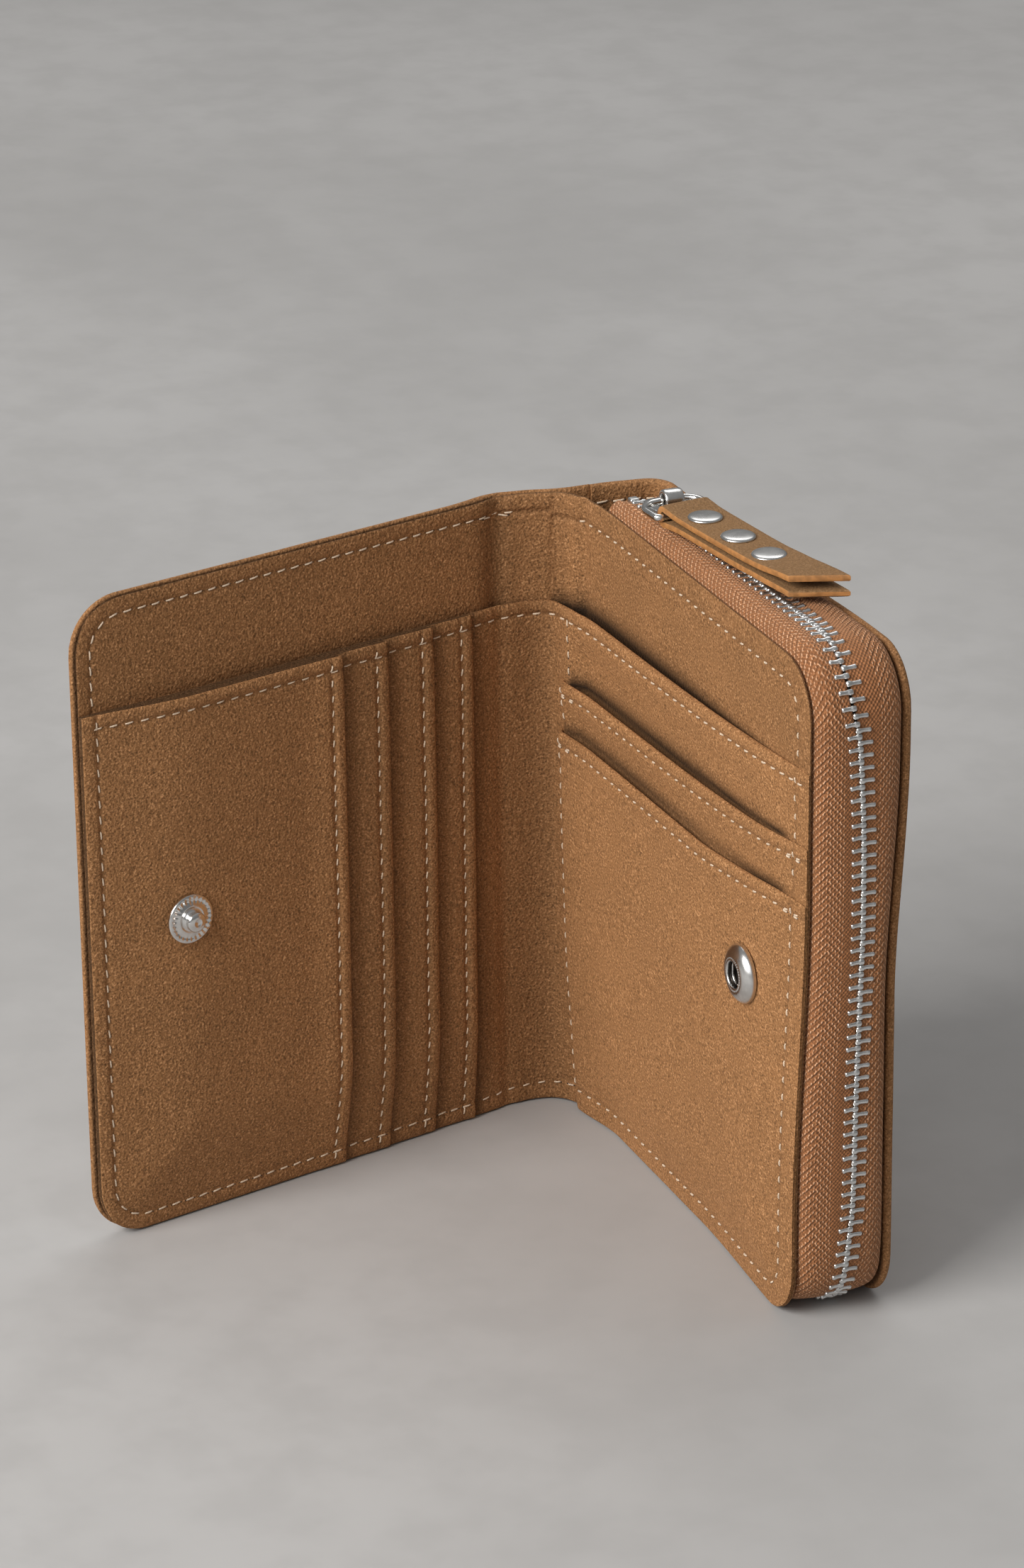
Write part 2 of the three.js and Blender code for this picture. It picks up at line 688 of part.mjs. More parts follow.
function addFrontLeaf() {
  const leaf = new THREE.Group();
  leaf.rotation.z = -degToRad(OPEN_DEG);
  wallet.add(leaf);
  add(leaf, 'cover_front', cover(STIFF_X, -FRONT_OUT, 1), leather);
  add(leaf, 'board_front', boardPlate(STIFF_X + 1, -4.9), board);
  const panel = plate({ x: [STIFF_X, EDGE], y: [-FRONT_T - PANEL, -FRONT_T], z: [0, HEIGHT] });
  add(leaf, 'inner_panel_front', panel, leather);

  // pocket side face of a layer, counted from the panel
  const layerFace = (layer) => -FRONT_T + layer * LAYER_PITCH;
  const topLayer = SLOT_X.length + 1;
  add(leaf, 'bill_pocket_front', pocket(STIFF_X, BILL_Z, layerFace(1) - LAYER), leather);
  SLOT_X.forEach((x, i) => {
    const y0 = layerFace(topLayer - i) - LAYER;
    add(leaf, `card_pocket_${i + 1}`, pocket(x, BILL_Z, y0), leather);
  });
  add(leaf, 'snap_stud', snapStud(layerFace(topLayer) + SNAP_GAP), silver);
}

// ---- assembly --------------------------------------------------------------------------------
addPocketLeaf();
addZipper();
addPull();
addRearCover();
addFold();
addFrontLeaf();

const root = new THREE.Group();
root.add(wallet);
export default root;
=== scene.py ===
"""Looks of an open leather wristlet wallet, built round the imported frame.

Lengths are millimetres from the upright fold axis until to_frame() turns them into the frame's
metres, with +Z up. The coin section lies along +X and the rear shell stands behind it at greater
Y. The front leaf swings open from the fold towards -Y. On each leaf, x is the distance from the
fold and `run` is the length along the leaf's plan line.
"""

import math
from dataclasses import dataclass

import bmesh
import bpy
import numpy as np
from mathutils import Matrix, Vector


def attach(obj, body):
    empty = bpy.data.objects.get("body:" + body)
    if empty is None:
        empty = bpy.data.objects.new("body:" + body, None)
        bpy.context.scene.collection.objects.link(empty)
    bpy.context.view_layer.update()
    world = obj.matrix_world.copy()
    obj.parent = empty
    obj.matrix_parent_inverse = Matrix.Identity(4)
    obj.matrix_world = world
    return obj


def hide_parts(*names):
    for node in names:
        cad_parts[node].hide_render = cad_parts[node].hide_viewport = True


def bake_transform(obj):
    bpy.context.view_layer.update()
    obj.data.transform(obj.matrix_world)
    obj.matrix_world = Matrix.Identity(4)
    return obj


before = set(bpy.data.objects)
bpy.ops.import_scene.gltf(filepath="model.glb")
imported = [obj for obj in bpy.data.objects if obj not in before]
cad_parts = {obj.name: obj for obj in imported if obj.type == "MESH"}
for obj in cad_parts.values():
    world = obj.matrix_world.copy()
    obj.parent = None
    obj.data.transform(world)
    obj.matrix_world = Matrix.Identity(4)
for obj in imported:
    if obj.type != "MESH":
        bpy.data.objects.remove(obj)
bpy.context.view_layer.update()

# ---- dimensions ------------------------------------------------------------------------------
SHIFT = np.array([-43.34, 33.32, 0.0])  # fold axis to the frame's origin
HEIGHT, EDGE, CORNER = 110.0, 88.8, 9.0  # leaf height, free edge and corner radius
OPEN = math.radians(76.25)
LEAF_DIR = np.array([math.cos(-OPEN), math.sin(-OPEN)])  # along the front leaf, from the fold
LEAF_NORMAL = np.array([-math.sin(-OPEN), math.cos(-OPEN)])  # out of its inner face
BILL_Z, UP_Z, LOW_Z = 91.5, 78.5, 70.5  # lips of the bill pocket and the two level card pockets
POCKET_Z0 = 0.3  # bottom of every pocket
OPEN_TOP = 30  # lifts the top of a pocket outline clear of its lip
SLOT_X = [40.8, 31.6, 22.2, 14.0]  # upright lips on the front leaf
X_SEWN = 3.0  # fold side of the coin section's card pockets
SPINE_SEAM_X = X_SEWN + 1.2
SNAP_X, SNAP_Z = 71.3, 53.8
SEW_REAR, SEW_FRONT = 4.2, 3.0  # edge seams, inside the free edges
LIP = 2.3  # seam below a lip
RIDGE_Y = 12.2  # middle line of the zipper
ZIP_X0, TEETH_X0, PITCH = 10.5, 14.6, 2.07
BAIL = np.array([22.6, 12.15, 114.65])
BAR = np.array([28.9, 11.75, 114.5])  # where the tab wraps the pull ring
YAW = math.radians(6.4)
# leather that bends between two bodies, with the plan points where it starts and stops
FOLD = ("front_leaf", "coin_section", (-2.2, -9.6), (1.4, 0.7))
SPINE_CORNER = ("coin_section", "rear_shell", (0.4, 14.6), (4.6, 20.4))


def to_frame(point):
    return (np.asarray(point, float) + SHIFT) / 1000.0


# ---- small maths -----------------------------------------------------------------------------
def smooth(t):
    t = np.clip(t, 0, 1)
    return t * t * (3 - 2 * t)


def ramp(start, end, x):
    """0 at start to 1 at end, eased; start may be the greater."""
    return smooth((np.asarray(x, float) - start) / (end - start))


def unit(vectors):
    return vectors / np.linalg.norm(vectors, axis=-1, keepdims=True)


def bell(x, centre, width):
    return np.exp(-(((np.asarray(x, float) - centre) / width) ** 2))


def spot(x, z, centre_x, centre_z, radius):
    return np.exp(-((x - centre_x) ** 2 + (z - centre_z) ** 2) / radius**2)


def arc(centre_x, centre_y, radius, start, end, steps):
    """Points of an arc between two angles in degrees."""
    angles = np.radians(np.linspace(start, end, steps + 1))
    return [(centre_x + radius * math.cos(a), centre_y + radius * math.sin(a)) for a in angles]


def curve(xs, ys):
    """Monotone cubic through the points, flat outside them."""
    xs, ys = np.array(xs, float), np.array(ys, float)
    widths = np.diff(xs)
    slopes = np.diff(ys) / widths
    tangents = np.zeros(len(xs))
    for i in range(1, len(xs) - 1):
        if slopes[i - 1] * slopes[i] > 0:
            before = 2 * widths[i] + widths[i - 1]
            after = widths[i] + 2 * widths[i - 1]
            tangents[i] = (before + after) / (before / slopes[i - 1] + after / slopes[i])

    def value(x):
        x = np.clip(np.asarray(x, float), xs[0], xs[-1])
        i = np.clip(np.searchsorted(xs, x) - 1, 0, len(xs) - 2)
        t = (x - xs[i]) / widths[i]
        t2, t3 = t * t, t * t * t
        return (
            (2 * t3 - 3 * t2 + 1) * ys[i]
            + (t3 - 2 * t2 + t) * widths[i] * tangents[i]
            + (-2 * t3 + 3 * t2) * ys[i + 1]
            + (t3 - t2) * widths[i] * tangents[i + 1]
        )

    return value


def vnoise(x, y, size, seed):
    """Smooth value noise in -1..1 with cells of the given size."""
    grid = np.random.RandomState(seed).rand(64, 64) * 2 - 1
    x, y = np.asarray(x, float) / size, np.asarray(y, float) / size
    i, j = np.floor(x).astype(int), np.floor(y).astype(int)
    tx, ty = smooth(x - i), smooth(y - j)

    def row(k):
        return grid[i % 64, k % 64] * (1 - tx) + grid[(i + 1) % 64, k % 64] * tx

    return row(j) * (1 - ty) + row(j + 1) * ty


def unevenness(run, z, amount, size, seed, fine_size, fine_seed):
    return amount * vnoise(run, z, size, seed) + 0.03 * vnoise(run, z, fine_size, fine_seed)


def stations(start, end, step, fine):
    """Stations from start to end, closer round each (centre, half width, step) of fine."""
    xs, x = [start], start
    while x < end - 1e-9:
        gap = step
        for centre, half, near_step in fine:
            gap = min(gap, near_step + 0.33 * max(0.0, abs(x - centre) - half))
        x = x + gap
        if end - x < 0.4 * gap:
            x = end
        xs.append(x)
    return np.array(xs)


def interp_rows(t, knots, rows):
    return np.stack([np.interp(t, knots, column) for column in rows.T], -1)


def lengths_along(points):
    return np.concatenate([[0], np.cumsum(np.linalg.norm(np.diff(points, axis=0), axis=1))])


def spline(points, steps=24):
    """Centripetal Catmull-Rom curve through plan points."""
    points = np.array(points, float)
    padded = np.vstack([2 * points[0] - points[1], points, 2 * points[-1] - points[-2]])
    out = []
    for i in range(1, len(padded) - 2):
        a, b, c, d = padded[i - 1 : i + 3]
        t0, t1 = 0, np.hypot(*(b - a)) ** 0.5
        t2 = t1 + np.hypot(*(c - b)) ** 0.5
        t3 = t2 + np.hypot(*(d - c)) ** 0.5
        t = np.linspace(t1, t2, steps, endpoint=False)[:, None]

        def between(start, end, first, second):
            return (end - t) / (end - start) * first + (t - start) / (end - start) * second

        ab, bc, cd = between(t0, t1, a, b), between(t1, t2, b, c), between(t2, t3, c, d)
        out.append(between(t1, t2, between(t0, t2, ab, bc), between(t1, t3, bc, cd)))
    out.append(points[-1:])
    return np.vstack(out)


# ---- meshes ----------------------------------------------------------------------------------
def volume(verts, quads, tris):
    faces = np.concatenate([quads[:, [0, 1, 2]], quads[:, [0, 2, 3]], tris])
    a, b, c = (verts[faces[:, i]] - verts.mean(0) for i in range(3))
    return np.einsum("ij,ij->i", a, np.cross(b, c)).sum()


def add_object(name, mesh):
    piece = bpy.data.objects.new(name, mesh)
    bpy.context.scene.collection.objects.link(piece)
    return piece


def finish_mesh(mesh, sharp):
    if sharp is not None:
        mesh.set_sharp_from_angle(angle=math.radians(sharp))
    mesh.update()


def build(name, verts, quads=(), tris=(), mats=(), index=None, uv=None, attrs=None, sharp=None):
    """A closed mesh, turned outside out, from vertices in fold axis millimetres."""
    quads = np.array(quads, int).reshape(-1, 4)
    tris = np.array(tris, int).reshape(-1, 3)
    verts = np.asarray(verts, float)
    if volume(verts, quads, tris) < 0:
        quads, tris = quads[:, ::-1], tris[:, ::-1]
    mesh = bpy.data.meshes.new(name)
    mesh.from_pydata(to_frame(verts).tolist(), [], quads.tolist() + tris.tolist())
    for material in mats:
        mesh.materials.append(material)
    if index is not None:
        mesh.polygons.foreach_set("material_index", np.asarray(index, np.int32))
    mesh.polygons.foreach_set("use_smooth", np.ones(len(mesh.polygons), bool))
    if uv is not None:
        corners = np.zeros(len(mesh.loops), np.int32)
        mesh.loops.foreach_get("vertex_index", corners)
        layer = mesh.uv_layers.new(name="UVMap")
        layer.data.foreach_set("uv", np.asarray(uv, np.float32)[corners].ravel())
    for key, values in (attrs or {}).items():
        attribute = mesh.attributes.new(key, "FLOAT", "POINT")
        attribute.data.foreach_set("value", np.asarray(values, np.float32))
    mesh.validate()
    finish_mesh(mesh, sharp)
    return add_object(name, mesh)


def from_bmesh(name, bm, mats, sharp=35):
    mesh = bpy.data.meshes.new(name)
    bmesh.ops.recalc_face_normals(bm, faces=bm.faces[:])
    bm.to_mesh(mesh)
    bm.free()
    points = np.array([v.co for v in mesh.vertices], float)
    mesh.vertices.foreach_set("co", to_frame(points).astype(np.float32).ravel())
    for material in mats:
        mesh.materials.append(material)
    mesh.polygons.foreach_set("use_smooth", np.ones(len(mesh.polygons), bool))
    finish_mesh(mesh, sharp)
    return add_object(name, mesh)


def place(piece, body, slot=None, *parts):
    """body is one name, or the four entries of leather that bends between two."""
    if isinstance(body, str):
        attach(piece, body)
    else:
        first, second, start, end = body
        start, end = (tuple(to_frame((*p, 50.0))) for p in (start, end))
        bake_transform(piece)
    if parts:
        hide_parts(*parts)


def grid_quads(ids):
    corners = [ids[:-1, :-1], ids[1:, :-1], ids[1:, 1:], ids[:-1, 1:]]
    return np.stack(corners, -1).reshape(-1, 4)


def ring_quads(rings, sides, start=0, loop=False):
    """Faces between successive rings; loop joins the last ring to the first."""
    ring, side = np.meshgrid(
        np.arange(rings if loop else rings - 1), np.arange(sides), indexing="ij"
    )
    here, after, beside = ring * sides, (ring + 1) % rings * sides, (side + 1) % sides
    corners = [here + side, here + beside, after + beside, after + side]
    return start + np.stack(corners, -1).reshape(-1, 4)


def end_fans(rings, sides, start=0):
    """Triangles closing the first and the last ring."""
    k = np.arange(1, sides - 1)
    first = np.stack([0 * k, k + 1, k], -1)
    last = (rings - 1) * sides + np.stack([0 * k, k, k + 1], -1)
    return start + np.concatenate([first, last])


def both_faces(front, back):
    """Values of the front grid, then those inside the rim of the back grid."""
    tail = front.shape[2:]
    return np.concatenate([front.reshape(-1, *tail), back[1:-1, 1:-1].reshape(-1, *tail)])


def shell(name, front, back, run, z, material, attrs=None):
    """A closed sheet from two grids of points that share their rim."""
    rows, columns = run.shape
    ids = np.arange(run.size).reshape(run.shape)
    back_ids = ids.copy()
    inside = np.arange((rows - 2) * (columns - 2)).reshape(rows - 2, columns - 2)
    back_ids[1:-1, 1:-1] = run.size + inside
    quads = np.concatenate([grid_quads(ids), grid_quads(back_ids)[:, ::-1]])
    uv = np.stack([run, z], -1) / 1000
    verts = both_faces(front, back)
    return build(name, verts, quads, mats=(material,), uv=both_faces(uv, uv), attrs=attrs)


# ---- leaf outline and padding ----------------------------------------------------------------
def round_off(distance, radius):
    t = np.clip(distance / radius, 0, 1)
    return np.sqrt(np.maximum(0.0, 1 - (1 - t) ** 2))


def edge_distance(x, z, bottom, top, top_r=CORNER, start=None):
    """Distance inside an outline rounded at the corners of its free edge."""
    distance = np.minimum(EDGE - x, np.minimum(z - bottom, top - z))
    for radius, height in ((top_r, top - z), (CORNER, z - bottom)):
        corner = (x > EDGE - radius) & (height < radius)
        inside = radius - np.hypot(x - (EDGE - radius), radius - height)
        distance = np.where(corner, inside, distance)
    if start is not None:
        distance = np.minimum(distance, x - start)
    return np.maximum(distance, 0)


def leaf_distance(x, z):
    return edge_distance(x, z, 0, HEIGHT)


def pocket_distance(x, z, lip):
    return edge_distance(x, z, POCKET_Z0, lip + OPEN_TOP, 0)


def round_corners(x, z, bottom, top, top_r):
    """Moves columns in so that the last one follows the rounded corners."""
    limit = np.full(np.shape(z), EDGE)
    for radius, height in ((top_r, top - z), (CORNER, z - bottom)):
        t = np.clip(radius - height, 0, radius)
        limit = limit - radius + np.sqrt(np.maximum(radius * radius - t * t, 0))
    start = EDGE - CORNER - 2.5
    return np.where(x > start, start + (x - start) * (limit - start) / (EDGE - start), x)


def seam_shape(distance, at, roll, groove):
    """Height of leather rolled over between an edge and the seam sewn at distance `at`."""
    distance = np.asarray(distance, float)
    hump = np.sin(np.pi * np.clip(distance / at, 0, 1)) ** 0.8
    return roll * hump - groove * bell(distance, at, 0.42)


def sewn_tight(x, z, start, end):
    """1 at the free edges, 0 in the padded middle and beside the fold."""
    return (1 - ramp(start, end, leaf_distance(x, z))) * ramp(5, 17, x)


def squeeze_front(y, x, z):
    tight = sewn_tight(x, z, -3.0, 21.0)
    return -3.85 + (y + 3.85) * np.where(y > -3.85, 1 - 0.74 * tight, 1 - 0.46 * tight)


def flare(x, z):
    """The lower free corner of the coin section leans outward."""
    return -1.7 * ramp(72, 18, z) * ramp(50, EDGE, x)


def squeeze_rear(y, x, z):
    tight = sewn_tight(x, z, -2.0, 16.0)
    return 5.7 + (y - 5.7) * np.where(y < 5.7, 1 - 0.72 * tight, 1.0) + flare(x, z)


def squeeze_back(y, x, z):
    return 19.4 + (y - 19.4) * (1 - 0.30 * sewn_tight(x, z, 0.2, 7.0))


def inset(distance):
    """How far the front leaf's inner layers stop short of the cover, by distance to its edge."""
    return 0.55 * (1 - ramp(0, 4, distance))


def belly(x, z):
    """The rear shell stands off round the upper free corner."""
    return 1.95 * ramp(34, 76, x) * ramp(54, 95, z)


# ---- plan paths ------------------------------------------------------------------------------
class Plan:
    """A smooth plan curve that may differ between the bottom and the top."""

    def __init__(self, top, bottom=None):
        self.share = np.linspace(0, 1, 4000)
        self.curves = []
        half = 9  # half width of the smoothing that keeps the bends round
        kernel = np.hanning(2 * half + 3)[1:-1]
        kernel /= kernel.sum()
        for points in (top, top if bottom is None else bottom):
            dense = spline(points)
            along = lengths_along(dense)
            if not self.curves:
                self.length = along[-1]
            even = interp_rows(self.share * along[-1], along, dense)
            padded = np.pad(even, ((half, half), (0, 0)), mode="edge")
            soft = np.stack([np.convolve(column, kernel, "valid") for column in padded.T], -1)
            even[half:-half] = soft[half:-half]
            self.curves.append(even)

    def __call__(self, run, z):
        """Plan point and the normal on the right of the direction of travel."""
        share = np.clip(np.asarray(run, float) / self.length, 0, 1)
        low = (1 - ramp(0, 95, z))[..., None]

        def point(at):
            top, bottom = (interp_rows(at, self.share, c) for c in self.curves)
            return top * (1 - low) + bottom * low

        step = 0.25 / self.length
        ahead = point(np.clip(share + step, 0, 1)) - point(np.clip(share - step, 0, 1))
        ahead = ahead / np.maximum(1e-9, np.linalg.norm(ahead, axis=-1, keepdims=True))
        return point(share), np.stack([ahead[..., 1], -ahead[..., 0]], -1)

    def rear_run(self, x):
        return self.length - (EDGE - x)

    def rear_x(self, run):
        return EDGE - (self.length - run)


def front_line(y):
    """Plan points down the front leaf towards the fold, y off its axis."""
    return [tuple(LEAF_DIR * s + LEAF_NORMAL * y) for s in (EDGE, 60, 40, 25, 17, 13)]


class FoldPlan(Plan):
    """From the front leaf's free edge through the fold to the coin section's free edge."""

    def __init__(self, front_y, rear_y, bend_top, bend_bottom):
        front = front_line(front_y)
        rear = [(x, rear_y) for x in (13.0, 17, 25, 40, 60, EDGE)]
        super().__init__(front + bend_top + rear, front + bend_bottom + rear)
        self.front_y, self.rear_y, self.mid = front_y, rear_y, self.length / 2

    def to_x(self, run):
        return np.where(run < self.mid, EDGE - run, self.rear_x(run))

    def from_x(self, x, run):
        return np.where(run < self.mid, EDGE - x, self.rear_run(x))

    def warp(self, offset, run, x, z):
        front = squeeze_front(offset + self.front_y, x, z) - self.front_y
        rear = self.rear_y - squeeze_rear(self.rear_y - offset, x, z)
        return np.where(run < self.mid, front, rear)


def straight_front(run, z):
    run = np.asarray(run, float)
    points = np.stack([LEAF_DIR[0] * run, LEAF_DIR[1] * run], -1)
    return points, np.broadcast_to(LEAF_NORMAL, run.shape + (2,))


def tucked_front(run, z):
    return straight_front(run - inset(EDGE - run), z)


def straight_rear(run, z):
    run = np.asarray(run, float)
    return np.stack([run, 0 * run], -1), np.broadcast_to(np.array([0.0, -1.0]), run.shape + (2,))


# bends of the fold as plan points (x, y), at the top and at the bottom
PANEL_PLAN = FoldPlan(
    -3.7, 5.6,
    [(-1.5, -9.6), (-2.05, -7.4), (-1.95, -5.2), (-1.6, -3.0), (-1.05, -0.9), (-0.3, 1.2),
     (1.0, 3.1), (3.4, 4.5), (7.5, 5.3)],
    [(-1.7, -9.8), (-2.9, -7.0), (-3.3, -4.2), (-3.3, -1.4), (-2.6, 1.2), (-1.0, 3.3),
     (1.4, 4.5), (4.4, 5.2), (8.5, 5.5)],
)
BILL_PLAN = FoldPlan(
    -2.9, 4.8,
    [(-0.7, -9.6), (-1.0, -7.0), (-1.05, -4.6), (-0.95, -2.6), (-0.55, -1.0), (0.3, 0.7),
     (1.7, 2.3), (4.1, 3.75), (8.3, 4.6)],
    [(-0.9, -9.8), (-1.9, -7.0), (-2.25, -4.4), (-2.2, -1.9), (-1.5, 0.7), (0.0, 2.6),
     (2.2, 3.8), (5.0, 4.4), (8.5, 4.7)],
)
COVER_FRONT_PLAN = Plan(
    front_line(-5.7)
    + [(-3.45, -9.9), (-3.5, -7.6), (-3.15, -5.4), (-2.8, -3.1), (-2.2, -0.8), (-1.6, 1.4),
       (-1.2, 3.7), (-1.1, 6.0), (-1.1, 8.0)],
    front_line(-5.7)
    + [(-3.7, -10.0), (-4.35, -7.4), (-4.7, -4.8), (-4.6, -2.0), (-3.9, 0.6), (-2.6, 2.9),
       (-1.5, 4.9), (-1.15, 6.6), (-1.1, 8.0)],
)
COVER_REAR_PLAN = Plan(
    [(-1.1, 8.0), (-1.08, 10.0), (-0.85, 12.2), (-0.5, 14.2)]
    + arc(4.0, 16.2, 4.2, 175, 100, 5)
    + [(x, 20.4) for x in (5.0, 8, 14, 25, 40, 60, EDGE)]
)


# ---- materials -------------------------------------------------------------------------------
class Nodes:
    """Short ways to add shader nodes to a tree. Inputs are sockets to link or plain values."""

    def __init__(self, tree):
        self.tree = tree

    def set(self, node, inputs):
        for key, value in inputs.items():
            if isinstance(value, bpy.types.NodeSocket):
                self.tree.links.new(value, node.inputs[key])
            else:
                node.inputs[key].default_value = value

    def add(self, kind, inputs=None, **settings):
        node = self.tree.nodes.new("ShaderNode" + kind)
        for key, value in settings.items():
            setattr(node, key, value)
        self.set(node, inputs or {})
        return node

    def coords(self, kind="Object"):
        return self.add("TexCoord").outputs[kind]

    def split(self, vector):
        return self.add("SeparateXYZ", {0: vector}).outputs

    def attribute(self, name):
        return self.add("Attribute", attribute_name=name).outputs["Fac"]

    def math(self, operation, a, b=0.0, clamp=False):
        inputs = {0: a, 1: b, 2: 0.0}
        return self.add("Math", inputs, operation=operation, use_clamp=clamp).outputs[0]

    def times(self, a, b, clamp=False):
        return self.math("MULTIPLY", a, b, clamp)

    def plus(self, a, b):
        return self.math("ADD", a, b)

    def wave(self, value, pitch):
        return self.math("SINE", self.times(value, 2 * math.pi / pitch))

    def noise(self, vector, scale, detail=2.0, rough=0.5):
        inputs = {"Vector": vector, "Scale": scale, "Detail": detail, "Roughness": rough}
        return self.add("TexNoise", inputs).outputs[0]

    def ease(self, value, start, end, low=0.0, high=1.0):
        """Smooth step from low to high while value goes from start to end."""
        inputs = dict(enumerate((value, start, end, low, high)))
        return self.add("MapRange", inputs, interpolation_type="SMOOTHSTEP").outputs[0]

    def mix(self, share, first, second):
        """The first colour where share is 0, the second where it is 1."""
        inputs = {0: share}
        for key, colour in ((6, first), (7, second)):
            is_socket = isinstance(colour, bpy.types.NodeSocket)
            inputs[key] = colour if is_socket else (*colour, 1.0)
        return self.add("Mix", inputs, data_type="RGBA").outputs[2]

    def bump(self, height, strength, distance, normal=None):
        inputs = {"Strength": strength, "Distance": distance, "Height": height}
        if normal is not None:
            inputs["Normal"] = normal
        return self.add("Bump", inputs).outputs[0]


class Surface(Nodes):
    """A material with one principled shader."""

    def __init__(self, name):
        self.material = bpy.data.materials.new(name)
        self.material.use_nodes = True
        super().__init__(self.material.node_tree)
        self.tree.nodes.clear()
        output = self.add("OutputMaterial")
        self.shader = self.add("BsdfPrincipled")
        self.set(output, {0: self.shader.outputs[0]})

    def finish(self, inputs):
        self.set(self.shader, inputs)
        return self.material


def leather(name, base, fleck=1.0, grain=1.0):
    """Nubuck: felted grain with flecks, rubbed patches, a pressed line under each seam and painted
    shade where a sheet asks for it.
    """
    n = Surface(name)
    where = n.coords()
    fine = n.noise(where, scale=2900.0, rough=0.6)
    middle = n.noise(where, scale=1100.0, rough=0.55)
    wide = n.noise(where, scale=70.0, detail=3.0, rough=0.6)
    vast = n.noise(where, scale=18.0)
    pile = n.add("TexVoronoi", {"Vector": where, "Scale": 1700.0}, feature="F1")
    base = np.array(base)
    light = np.minimum(1, base * np.array([1.75, 1.9, 2.2]))
    # rubbed patches, then light and dark flecks
    colour = n.mix(n.ease(wide, start=0.3, end=0.7), base * 0.93, base * 1.07)
    colour = n.mix(n.ease(vast, start=0.35, end=0.65, high=0.35), colour, base * 0.86)
    colour = n.mix(n.ease(fine, start=0.54, end=0.66, high=fleck), colour, light)
    colour = n.mix(n.ease(fine, start=0.46, end=0.34, high=fleck), colour, base * 0.45)
    colour = n.mix(n.ease(middle, start=0.42, end=0.66, high=0.25 * fleck), colour, base * 0.8)
    # darker by the seams, and painted shade in the pocket mouths, folds and gaps between layers
    # where the sheet's attribute asks for it
    near_seam = n.ease(n.attribute("seam"), start=0.75, end=0.05)
    colour = n.mix(n.times(near_seam, 0.30), colour, base * 0.5)
    painted_shade = n.times(n.attribute("painted_shade"), 0.9, clamp=True)
    colour = n.mix(painted_shade, colour, base * 0.06)
    height = n.plus(n.times(fine, 0.8), n.times(pile.outputs["Distance"], 0.6))
    height = n.plus(height, n.times(middle, 0.35))
    grain_bump = n.bump(height, strength=0.9 * grain, distance=0.00030)
    pressed = n.times(near_seam, -1.0)
    return n.finish({
        "Base Color": colour,
        "Roughness": n.ease(middle, start=0.3, end=0.7, low=0.70, high=0.88),
        "Specular IOR Level": 0.22,
        "Sheen Weight": 0.25,
        "Sheen Roughness": 0.45,
        "Sheen Tint": (*light, 1.0),
        "Normal": n.bump(pressed, strength=0.5, distance=0.00025, normal=grain_bump),
    })


def fabric(name, base, pitch=0.00042):
    n = Surface(name)
    across, up, _ = n.split(n.coords("UV"))
    weave = n.times(n.wave(across, pitch), n.wave(up, pitch))
    patches = n.noise(n.coords(), scale=160.0, detail=3.0)
    base = np.array(base)
    colour = n.mix(n.ease(weave, start=-0.6, end=0.6), base * 0.72, base * 1.25)
    colour = n.mix(n.ease(patches, start=0.3, end=0.7, high=0.4), colour, base * 0.8)
    return n.finish({
        "Base Color": colour,
        "Roughness": 0.85,
        "Sheen Weight": 0.2,
        "Normal": n.bump(weave, strength=0.6, distance=0.0001),
    })


def herringbone(name, base, crest_highlight):
    """Zipper tape: chevrons that turn over at mid flank, and fine cords beside the teeth.

    The UV map holds the length along the zipper and the distance across the tape, in metres.
    """
    n = Surface(name)
    along, across, _ = n.split(n.coords("UV"))
    turn = n.math("ABSOLUTE", n.math("SUBTRACT", across, 0.0029))
    slanted = n.math("SUBTRACT", along, n.times(turn, 1.25))
    rib = n.wave(slanted, pitch=0.0013)
    bead = n.wave(across, pitch=0.00052)
    ribs_and_beads = n.plus(n.times(rib, 0.9), n.times(bead, 0.55))
    rib = n.times(ribs_and_beads, n.plus(n.times(bead, 0.36), 0.80))
    yarn = n.wave(across, pitch=0.00064)
    crossing = n.wave(along, pitch=0.00072)
    cord = n.times(yarn, crossing)
    by_teeth = n.ease(across, start=0.0052, end=0.0060)
    flank = n.times(rib, n.math("SUBTRACT", 1.0, by_teeth))
    height = n.plus(flank, n.times(cord, 0.95))
    where = n.coords()
    fuzz = n.noise(where, scale=2600.0)
    wide = n.noise(where, scale=240.0, detail=3.0)
    base, crest_highlight = np.array(base), np.array(crest_highlight)
    # colour follows the weave's height: painted shade in the hollows and a painted highlight on
    # the crests
    colour = n.mix(n.ease(height, start=-1.0, end=1.1), base * 0.52, base * 1.06)
    crests = n.ease(height, start=0.6, end=1.45)
    colour = n.mix(crests, colour, np.minimum(1, crest_highlight * 1.08))
    colour = n.mix(n.ease(wide, start=0.35, end=0.65, high=0.35), colour, base * 0.72)
    colour = n.mix(n.ease(fuzz, start=0.52, end=0.68, high=0.42), colour, base * 1.7)
    return n.finish({
        "Base Color": colour,
        "Roughness": 0.75,
        "Specular IOR Level": 0.3,
        "Sheen Weight": 0.35,
        "Sheen Tint": (*np.minimum(1, crest_highlight * 1.2), 1.0),
        "Normal": n.bump(height, strength=0.85, distance=0.00012),
    })


def metal(name, base, rough, wear=0.1):
    """wear is how far the roughness rises in patches."""
    n = Surface(name)
    where = n.coords()
    fine = n.noise(where, scale=700.0, detail=3.0)
    patches = n.noise(where, scale=180.0, detail=3.0)
    base = np.array(base)
    return n.finish({
        "Base Color": n.mix(n.ease(fine, start=0.35, end=0.7), base, base * 0.86),
        "Metallic": 1.0,
        "Roughness": n.ease(patches, start=0.3, end=0.7, low=rough, high=rough + wear),
        "Normal": n.bump(patches, strength=0.10, distance=0.00003),
    })


